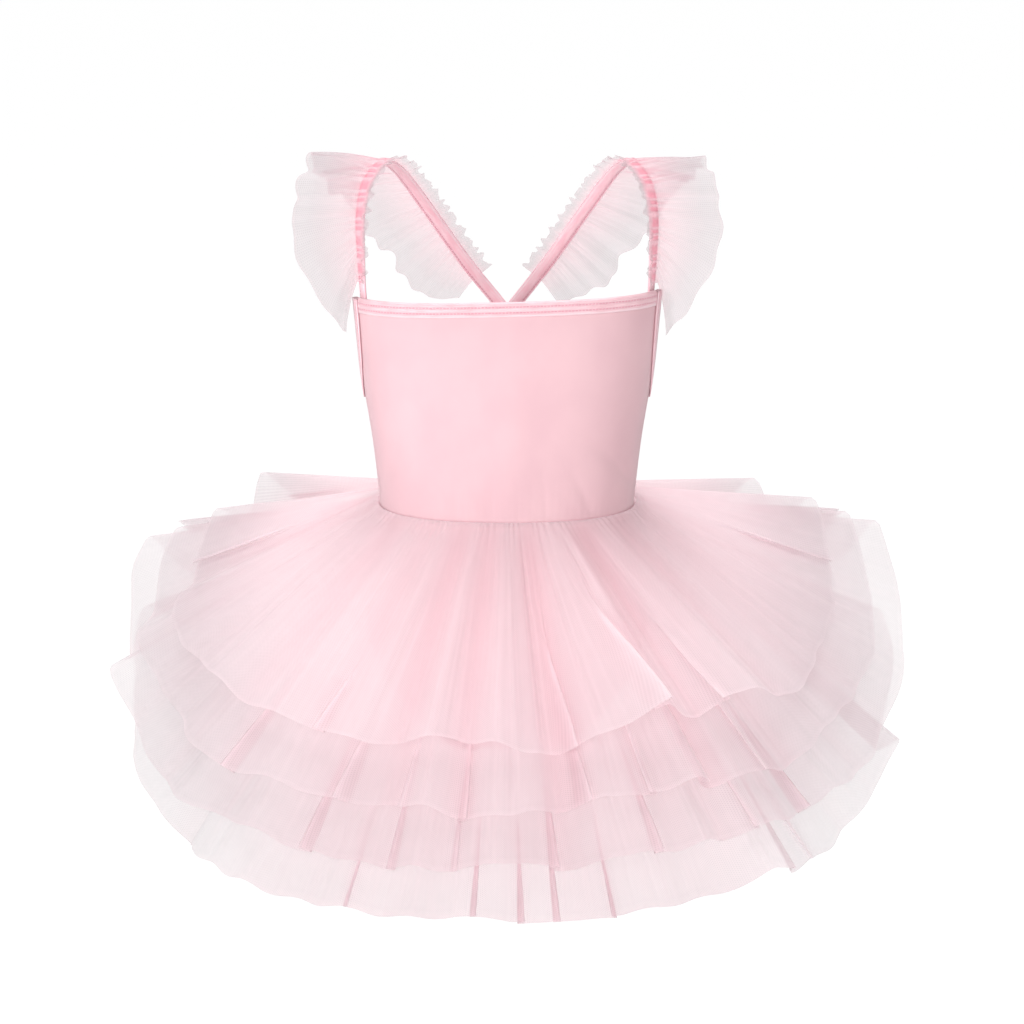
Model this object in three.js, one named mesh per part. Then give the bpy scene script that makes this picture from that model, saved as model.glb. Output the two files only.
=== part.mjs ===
// A small child's ballet leotard: a camisole bodice and brief in stretch knit, straps that cross on the
// back under gathered tulle frills, and a skirt of four gathered tulle tiers sewn round the waist.
// It keeps the hollow form that it has when worn. Sizes are in millimetres and +Z is up. The front
// faces -Y and the wearer's left is +X. The origin lies midway between the straps on the shoulder line.
import * as THREE from "three";

// Cloth, seams and trims
const KNIT = 1.5; // wall of the stretch knit
const TULLE = 1.2; // wall of a tier or a frill
const SEAM_GAP = 0.3; // between two pieces that are sewn together
const BINDING_LIP = 0.8; // one layer of the folded elastic
const BINDING_ROOM = 0.45; // between a binding's lip and the knit inside it
const LEG_BINDING_ROOM = 1.1;
const BINDING_WIDTH = 9;
const STRAP_WIDTH = 9;
const STRAP_THICKNESS = 1.6;

// Heights on the body
const NECK_Z = -85; // front top edge
const NECK_TILT = 0.025; // the neckline rises a little towards the wearer's left
const UNDERARM_Z = -153;
const BACK_Z = -146; // back top edge at its middle
const WAIST_Z = -236; // the seam of bodice, brief and skirt
const LEG_TOP_Z = -316; // leg opening at the side seam
const HIP_Z = -339; // below it the brief closes under the body
const CROTCH_Z = -414;

// Angles run round the body from the middle of the front, positive towards the wearer's left
const NECK_CORNER = 75; // where neckline and armhole meet
const NECK_BINDING_END = 69.2; // it stops beside the armhole binding
const SIDE_ANGLE = 89.9; // the front's side edge; the back's is as far past the side seam

// The worn form, level by level
const BODY = [
  { z: -414, halfWidth: 60, halfDepth: 60, squareness: 2.2 },
  { z: -339, halfWidth: 94, halfDepth: 73, squareness: 2.3 },
  { z: -294, halfWidth: 94, halfDepth: 73, squareness: 2.4 },
  { z: -264, halfWidth: 91, halfDepth: 70.5, squareness: 2.4 },
  { z: -236, halfWidth: 88.3, halfDepth: 68, squareness: 2.4 },
  { z: -218, halfWidth: 89.5, halfDepth: 69, squareness: 2.45 },
  { z: -187, halfWidth: 93, halfDepth: 70.5, squareness: 2.5 },
  { z: -154, halfWidth: 98, halfDepth: 72, squareness: 2.6 },
  { z: -120, halfWidth: 102.5, halfDepth: 72, squareness: 2.7 },
  { z: -85, halfWidth: 106.5, halfDepth: 70, squareness: 2.8 },
  { z: -60, halfWidth: 108.5, halfDepth: 68, squareness: 2.8 },
];

// The wearer's left strap from inside the front corner, over the shoulder, to inside the back edge.
// out is the direction that its upper face looks in.
const STRAP = [
  { x: 96.4, y: -33.4, z: -93, outX: 0.9, outY: -0.43, outZ: 0 },
  { x: 97.4, y: -33.2, z: -82, outX: 0.9, outY: -0.43, outZ: 0 },
  { x: 98.4, y: -33.5, z: -57, outX: 0.82, outY: -0.56, outZ: 0.05 },
  { x: 98.6, y: -32, z: -32, outX: 0.7, outY: -0.65, outZ: 0.25 },
  { x: 94.5, y: -22, z: -11, outX: 0.45, outY: -0.5, outZ: 0.75 },
  { x: 84, y: -3, z: 0.8, outX: 0.05, outY: 0, outZ: 1 },
  { x: 76, y: 17, z: -5.5, outX: 0, outY: 0.55, outZ: 0.82 },
  { x: 67, y: 36, z: -19.5, outX: 0, outY: 0.8, outZ: 0.6 },
  { x: 51, y: 53, z: -45, outX: 0, outY: 0.94, outZ: 0.34 },
  { x: 29, y: 63, z: -78, outX: 0, outY: 0.98, outZ: 0.18 },
  { x: 5, y: 67, z: -109, outX: 0, outY: 1, outZ: 0.08 },
  { x: -24, y: 67.2, z: -147, outX: -0.05, outY: 1, outZ: 0 },
  { x: -31, y: 66.7, z: -156, outX: -0.1, outY: 1, outZ: 0 },
];
const STRAP_STEPS = 40;
const CROSSING = 0.835; // where along the strap it meets the other one
const CROSSING_REACH = 0.1; // how far along the strap the step over the other one takes
const CROSSING_STEP = STRAP_THICKNESS + 2 * SEAM_GAP; // between the two straps where they cross

// The frill, by where it leaves the strap (0 at the front end, 1 at the back end): how wide its free
// side is and which way it falls.
const FRILL = [
  { along: 0.05, width: 36, out: 0.42, back: -0.14, up: -0.9 },
  { along: 0.1, width: 41, out: 0.68, back: -0.2, up: -0.7 },
  { along: 0.18, width: 42, out: 0.92, back: -0.22, up: -0.32 },
  { along: 0.28, width: 42, out: 0.98, back: -0.2, up: -0.08 },
  { along: 0.37, width: 50, out: 0.98, back: -0.08, up: -0.06 },
  { along: 0.45, width: 53, out: 0.93, back: 0.3, up: -0.14 },
  { along: 0.53, width: 52, out: 0.7, back: 0.55, up: -0.46 },
  { along: 0.62, width: 49, out: 0.42, back: 0.5, up: -0.76 },
  { along: 0.69, width: 40, out: 0.26, back: 0.38, up: -0.88 },
  { along: 0.745, width: 20, out: 0.2, back: 0.3, up: -0.9 },
];
const FRILL_WAVES = 18;
const FRILL_HEADER = 8; // narrow side, past the strap's inner edge
const FRILL_CROWN = 1.5; // how far the free side arches out between the strap and its edge, at most
const FRILL_DEPTH = 6.5; // wave height at the free edge, where the free side is FRILL_FULL wide or more
const FRILL_FULL = 30;
const FRILL_HEADER_DEPTH = 1.6;
const FRILL_HEADER_RISE = 1.2;
const FRILL_STITCH_DEPTH = 0.5; // wave height over the strap
const FRILL_STANDS = [0.34, 0.67, 1]; // rows across the free side
const FRILL_SQUARE = 0.6; // 1 would make it fall square to the strap everywhere
const FRILL_TURN_IN = 1; // its stitched rows lie this far inside the strap's edges

// The tiers from the top down
const TIERS = [
  { column: "top", length: 166 },
  { column: "second", length: 200 },
  { column: "third", length: 230 },
  { column: "bottom", length: 255 },
];
const TIER_ROOM = 0.45; // between the cloth of the brief and the root of a tier
const TIER_STEP = 5; // each tier is sewn on this much lower than the one above
const TIER_ROWS = [0, 0.3, 0.65, 1]; // shares of the length
const TIER_COLUMN = 5.5; // widest step between two columns of a tier, in degrees

// The folds: how far each tier stands out from the body there, in degrees from straight down. The
// cloth is flat from one row to the next, so that a high row is a ridge and a low one a valley.
const FOLDS = [
  { angle: -180, top: 68, second: 62, third: 56, bottom: 50 },
  { angle: -170, top: 74, second: 68, third: 61, bottom: 55 },
  { angle: -161, top: 63, second: 58, third: 53, bottom: 47 },
  { angle: -152, top: 75, second: 70, third: 64, bottom: 57 },
  { angle: -145, top: 66, second: 61, third: 56, bottom: 50 },
  { angle: -131, top: 85, second: 76, third: 70, bottom: 63 },
  { angle: -127, top: 71, second: 70, third: 66, bottom: 59 },
  { angle: -120, top: 77.5, second: 77, third: 77, bottom: 66 },
  { angle: -115, top: 73, second: 73, third: 72.5, bottom: 60 },
  { angle: -111, top: 68, second: 67.5, third: 66.5, bottom: 55 },
  { angle: -104, top: 62, second: 61, third: 57, bottom: 48 },
  { angle: -95, top: 62, second: 61, third: 59, bottom: 45 },
  { angle: -88, top: 58, second: 53.5, third: 50, bottom: 41 },
  { angle: -80, top: 55, second: 49, third: 45, bottom: 37 },
  { angle: -76, top: 52, second: 46, third: 41, bottom: 32 },
  { angle: -66, top: 51, second: 46, third: 42, bottom: 35 },
  { angle: -57, top: 47, second: 42, third: 38.5, bottom: 35.5 },
  { angle: -48, top: 48, second: 43, third: 40, bottom: 36 },
  { angle: -38, top: 44, second: 40, third: 37, bottom: 33 },
  { angle: -31, top: 45, second: 38, third: 37, bottom: 33.5 },
  { angle: -23, top: 41, second: 37, third: 34, bottom: 31.5 },
  { angle: -16, top: 46, second: 41.5, third: 38.5, bottom: 32 },
  { angle: -9, top: 42, second: 37.5, third: 36.5, bottom: 35 },
  { angle: -2, top: 46, second: 42, third: 40, bottom: 32.5 },
  { angle: 5, top: 42, second: 40.5, third: 36, bottom: 33 },
  { angle: 11, top: 40, second: 37, third: 33, bottom: 31.5 },
  { angle: 16, top: 46, second: 42.5, third: 41.5, bottom: 35 },
  { angle: 23, top: 52, second: 44.5, third: 43, bottom: 34 },
  { angle: 29, top: 59, second: 45, third: 42, bottom: 35 },
  { angle: 33, top: 52, second: 49, third: 44, bottom: 34 },
  { angle: 38, top: 48, second: 42.5, third: 40, bottom: 36 },
  { angle: 42, top: 53, second: 46, third: 44.5, bottom: 43 },
  { angle: 49, top: 56, second: 46, third: 43, bottom: 41 },
  { angle: 57, top: 50, second: 43, third: 40, bottom: 33 },
  { angle: 66, top: 50, second: 46, third: 43, bottom: 35 },
  { angle: 76, top: 51, second: 48, third: 44, bottom: 36 },
  { angle: 86, top: 54, second: 51, third: 48.5, bottom: 43 },
  { angle: 94, top: 60, second: 59, third: 58, bottom: 50 },
  { angle: 98, top: 62, second: 61.5, third: 61, bottom: 44 },
  { angle: 106, top: 68, second: 67, third: 66.5, bottom: 52 },
  { angle: 112, top: 75.5, second: 74, third: 73, bottom: 60 },
  { angle: 118, top: 81.5, second: 81, third: 81, bottom: 66 },
  { angle: 123, top: 74, second: 73, third: 71, bottom: 62 },
  { angle: 127, top: 74.5, second: 72, third: 68, bottom: 60 },
  { angle: 131, top: 83.5, second: 76, third: 71, bottom: 65 },
  { angle: 138, top: 70, second: 65, third: 60, bottom: 54 },
  { angle: 147, top: 75, second: 70, third: 65, bottom: 59 },
  { angle: 155, top: 63, second: 58, third: 54, bottom: 48 },
  { angle: 164, top: 72, second: 66, third: 61, bottom: 55 },
  { angle: 172, top: 63, second: 58, third: 53, bottom: 47 },
  { angle: 180, top: 68, second: 62, third: 56, bottom: 50 },
];

const KNIT_COLOUR = 0xf9d3da;
const BINDING_COLOUR = 0xf7b9c8;
const TULLE_COLOUR = 0xf8dde3;

const radians = THREE.MathUtils.degToRad;
const vector = (x, y, z) => new THREE.Vector3(x, y, z);

// One row of a table at any value of its key column, along smooth curves through the rows.
function rowAt(table, key, value) {
  const last = table.length - 1;
  const at = THREE.MathUtils.clamp(value, table[0][key], table[last][key]);
  let i = 0;
  while (i < last - 1 && table[i + 1][key] < at) i++;
  const span = table[i + 1][key] - table[i][key];
  const t = (at - table[i][key]) / span;
  const slope = (k, column) => {
    const a = table[Math.max(k - 1, 0)];
    const b = table[Math.min(k + 1, last)];
    return ((b[column] - a[column]) / (b[key] - a[key])) * span;
  };
  const row = {};
  for (const column of Object.keys(table[0])) {
    const [p, q] = [table[i][column], table[i + 1][column]];
    const [m, n] = [slope(i, column), slope(i + 1, column)];
    row[column] =
      p * (2 * t ** 3 - 3 * t ** 2 + 1) +
      m * (t ** 3 - 2 * t ** 2 + t) +
      q * (3 * t ** 2 - 2 * t ** 3) +
      n * (t ** 3 - t ** 2);
  }
  return row;
}

// A point on a rounded-square ring, in the direction of angle.
function ringPoint(angle, halfWidth, halfDepth, squareness, z) {
  const s = Math.sin(radians(angle));
  const c = Math.cos(radians(angle));
  const sum = Math.abs(s / halfWidth) ** squareness + Math.abs(c / halfDepth) ** squareness;
  const radius = sum ** (-1 / squareness);
  return vector(radius * s, -radius * c, z);
}

// The body above the waist, by angle and height.
function bodicePoint(angle, z) {
  const { halfWidth, halfDepth, squareness } = rowAt(BODY, "z", z);
  return ringPoint(angle, halfWidth, halfDepth, squareness, z);
}

// The body below the waist, by angle and how far down it lies: 0 at the waist, 1 at the hip, 2 at the
// crotch, where front and back meet.
function briefPoint(angle, down) {
  if (down <= 1) return bodicePoint(angle, WAIST_Z + (HIP_Z - WAIST_Z) * down);
  const hip = rowAt(BODY, "z", HIP_Z);
  const turn = radians(90 * (down - 1));
  const halfWidth = hip.halfWidth * (1 - 0.4 * Math.sin(turn) ** 2);
  const halfDepth = hip.halfDepth * Math.cos(turn);
  const z = HIP_Z + (CROTCH_Z - HIP_Z) * Math.sin(turn);
  const across = halfWidth * Math.sin(radians(angle));
  return vector(across, -halfDepth * Math.cos(radians(angle)), z);
}

// Gives any faces the winding that makes them look outwards.
function closedGeometry(points, faces) {
  let volume = 0;
  for (const [a, b, c] of faces) volume += points[a].dot(points[b].clone().cross(points[c]));
  const turned = volume < 0 ? faces.map(([a, b, c]) => [a, c, b]) : faces;
  const geometry = new THREE.BufferGeometry().setFromPoints(points);
  geometry.setIndex(turned.flat());
  geometry.computeVertexNormals();
  return geometry;
}

// The unit normal of a grid of points at column i and row j.
function gridNormal(grid, i, j) {
  const columns = grid.length - 1;
  const rows = grid[0].length - 1;
  const along = grid[Math.min(i + 1, columns)][j].clone().sub(grid[Math.max(i - 1, 0)][j]);
  const down = grid[i][Math.min(j + 1, rows)].clone().sub(grid[i][Math.max(j - 1, 0)]);
  return along.cross(down).normalize();
}

// A closed wall of even thickness whose middle is a grid of points: grid[column][row]. Its first and
// last columns lie flat at endY where that is given.
function wallGeometry(grid, thickness, endY) {
  const columns = grid.length;
  const rows = grid[0].length;
  const points = [];
  for (const side of [0.5, -0.5])
    grid.forEach((column, i) =>
      column.forEach((point, j) => {
        const normal = gridNormal(grid, i, j);
        const place = point.clone();
        if (endY !== undefined && (i === 0 || i === columns - 1)) {
          normal.setY(0).divideScalar(normal.lengthSq());
          place.setY(endY);
        }
        points.push(place.addScaledVector(normal, side * thickness));
      }),
    );
  const half = columns * rows;
  const faces = [];
  const quad = (a, b, c, d) => faces.push([a, b, c], [a, c, d]);
  for (let i = 0; i < columns - 1; i++)
    for (let j = 0; j < rows - 1; j++) {
      const [a, b, c, d] = [i * rows + j, (i + 1) * rows + j, (i + 1) * rows + j + 1, i * rows + j + 1];
      quad(a, b, c, d);
      quad(half + a, half + d, half + c, half + b);
    }
  const rim = [];
  for (let i = 0; i < columns - 1; i++) rim.push(i * rows);
  for (let j = 0; j < rows - 1; j++) rim.push((columns - 1) * rows + j);
  for (let i = columns - 1; i > 0; i--) rim.push(i * rows + rows - 1);
  for (let j = rows - 1; j > 0; j--) rim.push(j);
  rim.forEach((a, k) => {
    const b = rim[(k + 1) % rim.length];
    quad(b, a, half + a, half + b);
  });
  return closedGeometry(points, faces);
}

// A closed solid through equal rings of points. outline is the ring's shape in a plane, for its ends.
function sweptGeometry(rings, outline, joined) {
  const count = outline.length;
  const points = rings.flat();
  const faces = [];
  const last = joined ? rings.length : rings.length - 1;
  for (let i = 0; i < last; i++)
    for (let k = 0; k < count; k++) {
      const a = i * count + k;
      const b = i * count + ((k + 1) % count);
      const c = ((i + 1) % rings.length) * count + k;
      const d = ((i + 1) % rings.length) * count + ((k + 1) % count);
      faces.push([a, b, d], [a, d, c]);
    }
  if (!joined) {
    const end = (rings.length - 1) * count;
    for (const [a, b, c] of THREE.ShapeUtils.triangulateShape(outline, [])) {
      faces.push([a, c, b]);
      faces.push([end + a, end + b, end + c]);
    }
  }
  return closedGeometry(points, faces);
}

// A panel of knit, from columns of angles, with its top and bottom edge at each angle.
function panelGeometry(surface, angles, topAt, bottomAt, rows) {
  const grid = angles.map((angle) => {
    const [top, bottom] = [topAt(angle), bottomAt(angle)];
    return Array.from({ length: rows + 1 }, (_, j) => surface(angle, top + ((bottom - top) * j) / rows));
  });
  return wallGeometry(grid, KNIT);
}

// The angle of the front armhole edge, from the neck corner (0) to the underarm (1).
const armholeAngle = (share) =>
  Math.min(NECK_CORNER + (90 - NECK_CORNER) * (1 - Math.cos(radians(90 * share))), SIDE_ANGLE);

// The height of the bodice's top edge at any angle: neckline, armholes and back.
function topEdgeZ(angle) {
  const round = Math.abs(angle);
  if (round <= NECK_CORNER) return NECK_Z + NECK_TILT * bodicePoint(angle, NECK_Z).x;
  if (round >= 90) return UNDERARM_Z + (BACK_Z - UNDERARM_Z) * Math.sin(radians(round - 90)) ** 2;
  const turn = Math.acos(1 - (round - NECK_CORNER) / (90 - NECK_CORNER));
  const cornerZ = NECK_Z + NECK_TILT * bodicePoint(Math.sign(angle) * NECK_CORNER, NECK_Z).x;
  return cornerZ + (UNDERARM_Z - cornerZ) * Math.sin(turn);
}

// The columns of each edge, which the cloth and the binding over it share
const evenly = (from, to, count) =>
  Array.from({ length: count + 1 }, (_, i) => from + ((to - from) * i) / count);
const NECK_ANGLES = evenly(-NECK_BINDING_END, NECK_BINDING_END, 20);
const ARMHOLE_ANGLES = [0, 0.18, 0.34, 0.5, 0.64, 0.78, 0.9, 1].map(armholeAngle);
const BACK_ANGLES = evenly(180 - SIDE_ANGLE, 180 + SIDE_ANGLE, 24);

function frontBodice() {
  const right = ARMHOLE_ANGLES.toReversed().map((angle) => -angle);
  const angles = [...right, ...NECK_ANGLES, ...ARMHOLE_ANGLES];
  return panelGeometry(bodicePoint, angles, topEdgeZ, () => WAIST_Z + SEAM_GAP / 2, 6);
}

const backTopZ = (angle) => topEdgeZ(angle > 180 ? angle - 360 : angle);

function backBodice() {
  return panelGeometry(bodicePoint, BACK_ANGLES, backTopZ, () => WAIST_Z + SEAM_GAP / 2, 4);
}

const LEG_TOP = (LEG_TOP_Z - WAIST_Z) / (HIP_Z - WAIST_Z); // as briefPoint counts down
const CROTCH = 1.9985; // the seam under the body
const CROTCH_ANGLE = 30; // half of the crotch, as briefPoint counts angles there
const BRIEF_TOP = 0.0015;
const BRIEF_ACROSS = [0, 0.16, 0.33, 0.5, 0.66, 0.78, 0.87, 0.94, 1]; // columns from its middle to an edge
// Rows along a leg edge
const LEG_DOWNS = [LEG_TOP, 0.82, 0.89, 0.98, 1.1, 1.25, 1.42, 1.59, 1.75, 1.88, CROTCH];

// Half of the brief's width as an angle, at any distance down. The back covers more than the front.
function legEdgeAngle(down, isFront) {
  const share = THREE.MathUtils.clamp((down - LEG_TOP) / (CROTCH - LEG_TOP), 0, 1);
  const cut = isFront ? 1 - (1 - share) ** 1.6 : share ** 1.35;
  return 90 - (90 - CROTCH_ANGLE) * cut;
}

// Front or back of the brief: columns run across it, and its sides follow the leg edges.
function briefHalf(isFront) {
  const across = [...BRIEF_ACROSS.slice(1).toReversed().map((share) => -share), ...BRIEF_ACROSS];
  const downs = [BRIEF_TOP, 0.12, 0.4, ...LEG_DOWNS];
  const middle = isFront ? 0 : 180;
  const grid = across.map((share) =>
    downs.map((down) => briefPoint(middle + share * Math.min(legEdgeAngle(down, isFront), SIDE_ANGLE), down)),
  );
  return wallGeometry(grid, KNIT);
}

// The section of a folded binding round an edge of knit: [distance into the cloth, distance out of it].
function bindingOutline(room) {
  const inner = KNIT / 2 + room;
  const outer = inner + BINDING_LIP;
  const back = -SEAM_GAP - BINDING_LIP;
  return [
    [BINDING_WIDTH, outer],
    [back, outer],
    [back, -outer],
    [BINDING_WIDTH, -outer],
    [BINDING_WIDTH, -inner],
    [-SEAM_GAP, -inner],
    [-SEAM_GAP, inner],
    [BINDING_WIDTH, inner],
  ].map(([into, out]) => new THREE.Vector2(into, out));
}

// The binding over an edge of a surface. edge lists the edge's places on it, as the surface counts
// them, and cloth is +1 or -1 for the side of the edge that the cloth lies on.
function bindingGeometry(surface, edge, cloth, joined, room = BINDING_ROOM) {
  const outline = bindingOutline(room);
  const step = 1e-3;
  const normalAt = ([u, v]) => {
    const du = surface(u + step, v).sub(surface(u - step, v));
    const dv = surface(u, v + step).sub(surface(u, v - step));
    const normal = du.cross(dv).normalize();
    const place = surface(u, v);
    const outwards = normal.x * place.x + normal.y * place.y + normal.z * (place.z - WAIST_Z) * 0.3;
    return outwards < 0 ? normal.negate() : normal;
  };
  const last = edge.length - 1;
  const pick = (k) => edge[joined ? (k + edge.length) % edge.length : THREE.MathUtils.clamp(k, 0, last)];
  const rings = edge.map(([u, v], k) => {
    const place = surface(u, v);
    const normal = normalAt([u, v]);
    const tangent = surface(...pick(k + 1)).sub(surface(...pick(k - 1))).normalize();
    const into = normal.clone().cross(tangent).normalize().multiplyScalar(cloth);
    const far = nearestPlace(surface, [u, v], place.clone().addScaledVector(into, BINDING_WIDTH));
    const farNormal = normalAt(far);
    const farPlace = surface(...far);
    return outline.map(({ x, y }) =>
      x > 0
        ? farPlace.clone().addScaledVector(farNormal, y)
        : place.clone().addScaledVector(into, x).addScaledVector(normal, y),
    );
  });
  return sweptGeometry(rings, outline, joined);
}

// Where on a surface a point near it lies, by a few steps from a place close by.
function nearestPlace(surface, start, target) {
  const step = 1e-3;
  let [u, v] = start;
  for (let round = 0; round < 6; round++) {
    const miss = target.clone().sub(surface(u, v));
    const du = surface(u + step, v).sub(surface(u - step, v)).divideScalar(2 * step);
    const dv = surface(u, v + step).sub(surface(u, v - step)).divideScalar(2 * step);
    const [a, b, c] = [du.dot(du), du.dot(dv), dv.dot(dv)];
    const [p, q] = [miss.dot(du), miss.dot(dv)];
    const size = a * c - b * b;
    u += (p * c - q * b) / size;
    v += (a * q - b * p) / size;
  }
  return [u, v];
}

function neckBinding() {
  return bindingGeometry(bodicePoint, NECK_ANGLES.map((angle) => [angle, topEdgeZ(angle)]), -1, false);
}

function armholeBinding(side) {
  const edge = ARMHOLE_ANGLES.map((angle) => [side * angle, topEdgeZ(side * angle)]);
  return bindingGeometry(bodicePoint, edge, -side, false);
}

function backBinding() {
  return bindingGeometry(bodicePoint, BACK_ANGLES.map((angle) => [angle, backTopZ(angle)]), -1, false);
}

function legBinding() {
  const front = LEG_DOWNS.map((down) => [legEdgeAngle(down, true), down]);
  const back = LEG_DOWNS.slice(1, -1).map((down) => [180 - legEdgeAngle(down, false), down]);
  return bindingGeometry(briefPoint, [...front, ...back.toReversed()], -1, true, LEG_BINDING_ROOM);
}

// The curve of the strap and of its upper face's direction, both counted row by row
const STRAP_PATH = new THREE.CatmullRomCurve3(STRAP.map(({ x, y, z }) => vector(x, y, z)));
const STRAP_OUT = new THREE.CatmullRomCurve3(STRAP.map(({ outX, outY, outZ }) => vector(outX, outY, outZ)));

// The middle of the wearer's left strap, and its directions: along, out, and across to its outer edge.
// level is -1 for the strap that lies inside where they cross and +1 for the other.
function strapPlace(along, level) {
  const t = STRAP_PATH.getUtoTmapping(along);
  const tangent = STRAP_PATH.getTangent(t).normalize();
  const out = STRAP_OUT.getPoint(t);
  out.addScaledVector(tangent, -out.dot(tangent)).normalize();
  const across = tangent.clone().cross(out).normalize();
  if (along < CROSSING && across.x < 0) across.negate();
  const near = 1 - Math.min(Math.abs(along - CROSSING) / CROSSING_REACH, 1);
  const lift = (level * CROSSING_STEP * THREE.MathUtils.smoothstep(near, 0, 0.7)) / 2;
  return { place: STRAP_PATH.getPoint(t).addScaledVector(out, lift), tangent, out, across };
}

// side is +1 for the wearer's left and -1 for the right, which is its mirror image.
const mirrored = (point, side) => vector(point.x * side, point.y, point.z);

function strap(side) {
  const corners = [
    [-1, -1],
    [1, -1],
    [1, 1],
    [-1, 1],
  ].map(([u, v]) => new THREE.Vector2((u * STRAP_WIDTH) / 2, (v * STRAP_THICKNESS) / 2));
  const rings = Array.from({ length: STRAP_STEPS + 1 }, (_, i) => {
    const { place, out, across } = strapPlace(i / STRAP_STEPS, -side);
    return corners.map(({ x, y }) =>
      mirrored(place.clone().addScaledVector(across, x).addScaledVector(out, y), side),
    );
  });
  return sweptGeometry(rings, corners, false);
}

// A frill: rows run from the header's edge over the strap to the free edge.
function strapFrill(side) {
  const perWave = 4;
  const [first, last] = [FRILL[0].along, FRILL[FRILL.length - 1].along];
  const columns = FRILL_WAVES * perWave;
  const onStrap = STRAP_THICKNESS / 2 + SEAM_GAP + TULLE / 2 + FRILL_STITCH_DEPTH;
  const edge = STRAP_WIDTH / 2 - FRILL_TURN_IN;
  const grid = Array.from({ length: columns + 1 }, (_, i) => {
    const along = first + ((last - first) * i) / columns;
    const wave = Math.sin((2 * Math.PI * i) / perWave);
    const { place, tangent, out, across } = strapPlace(along, -side);
    const { width, out: falls, back, up } = rowAt(FRILL, "along", along);
    const fall = vector(falls, back, up).normalize();
    fall.addScaledVector(tangent, -fall.dot(tangent) * FRILL_SQUARE).normalize();
    const face = fall.clone().cross(tangent).normalize();
    if (face.dot(out) < 0) face.negate();
    const base = place.clone().addScaledVector(out, onStrap);
    const header = base
      .clone()
      .addScaledVector(across, -edge - FRILL_HEADER)
      .addScaledVector(out, FRILL_HEADER_RISE + FRILL_HEADER_DEPTH * wave);
    const stitched = base.clone().addScaledVector(out, FRILL_STITCH_DEPTH * wave);
    const inner = stitched.clone().addScaledVector(across, -edge);
    const outer = stitched.clone().addScaledVector(across, edge);
    const free = FRILL_STANDS.map((share) =>
      outer
        .clone()
        .addScaledVector(fall, width * share)
        .addScaledVector(out, FRILL_CROWN * 4 * (1 - share) * share)
        .addScaledVector(face, FRILL_DEPTH * wave * share * Math.min(1, width / FRILL_FULL)),
    );
    return [header, inner, outer, ...free].map((point) => mirrored(point, side));
  });
  return wallGeometry(grid, TULLE);
}

// How far a tier stands out at an angle round the waist, in degrees from straight down.
function spreadAt(column, angle) {
  const i = Math.min(FOLDS.findLastIndex((fold) => fold.angle <= angle), FOLDS.length - 2);
  const [a, b] = [FOLDS[i], FOLDS[i + 1]];
  return a[column] + ((b[column] - a[column]) * (angle - a.angle)) / (b.angle - a.angle);
}

// A point of a tier, by its angle round the waist and its share of the way to the hem.
function tierPoint(order, angle, share) {
  const { column, length } = TIERS[order];
  const lean = radians(spreadAt(column, angle));
  const outwards = vector(Math.sin(radians(angle)), -Math.cos(radians(angle)), 0);
  const falling = outwards.clone().multiplyScalar(Math.sin(lean)).add(vector(0, 0, -Math.cos(lean)));
  const seam = bodicePoint(angle, WAIST_Z - SEAM_GAP - TULLE / 2 - TIER_STEP * order);
  const offset = KNIT / 2 + TIER_ROOM + (TULLE / 2) * Math.cos(lean);
  return seam.addScaledVector(outwards, offset).addScaledVector(falling, length * share);
}

// The columns of a tier from one side seam to the other: every fold, and more where they lie wide apart.
function tierAngles(isFront) {
  const turned = FOLDS.slice(1).map(({ angle }) => (isFront || angle > 0 ? angle : angle + 360));
  const [from, to] = isFront ? [-90, 90] : [90, 270];
  const near = 1.2; // a fold this close to the side seam is left out, in degrees
  const folds = turned.filter((angle) => angle > from + near && angle < to - near);
  const places = [from, ...folds.sort((a, b) => a - b), to];
  return places.flatMap((angle, i) => {
    const next = places[i + 1];
    if (next === undefined) return [angle];
    return evenly(angle, next, Math.ceil((next - angle) / TIER_COLUMN)).slice(0, -1);
  });
}

// The front or the back half of a tier, from side seam to side seam.
function tierHalf(order, isFront) {
  const shift = ((isFront ? -1 : 1) * SEAM_GAP) / 2;
  const grid = tierAngles(isFront).map((angle) =>
    TIER_ROWS.map((share) => tierPoint(order, angle > 180 ? angle - 360 : angle, share)),
  );
  return wallGeometry(grid, TULLE, shift);
}

// The mirror image of a piece, with its faces turned to look outwards again.
function mirroredGeometry(geometry) {
  const copy = geometry.clone().scale(-1, 1, 1);
  const index = Array.from(copy.getIndex().array);
  for (let i = 0; i < index.length; i += 3) [index[i + 1], index[i + 2]] = [index[i + 2], index[i + 1]];
  copy.setIndex(index);
  copy.computeVertexNormals();
  return copy;
}

const part = new THREE.Group();

function addPiece(name, geometry, color, roughness) {
  const mesh = new THREE.Mesh(geometry, new THREE.MeshStandardMaterial({ color, roughness, metalness: 0 }));
  mesh.name = name;
  part.add(mesh);
}

addPiece("front_bodice", frontBodice(), KNIT_COLOUR, 0.55);
addPiece("back_bodice", backBodice(), KNIT_COLOUR, 0.55);
addPiece("brief_front", briefHalf(true), KNIT_COLOUR, 0.55);
addPiece("brief_back", briefHalf(false), KNIT_COLOUR, 0.55);
addPiece("neck_binding", neckBinding(), BINDING_COLOUR, 0.4);
addPiece("back_binding", backBinding(), BINDING_COLOUR, 0.4);
addPiece("armhole_binding_left", armholeBinding(1), BINDING_COLOUR, 0.4);
addPiece("armhole_binding_right", armholeBinding(-1), BINDING_COLOUR, 0.4);
addPiece("leg_binding_left", legBinding(), BINDING_COLOUR, 0.4);
addPiece("leg_binding_right", mirroredGeometry(legBinding()), BINDING_COLOUR, 0.4);
addPiece("strap_left", strap(1), BINDING_COLOUR, 0.35);
addPiece("strap_right", strap(-1), BINDING_COLOUR, 0.35);
addPiece("strap_frill_left", strapFrill(1), TULLE_COLOUR, 0.8);
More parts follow.
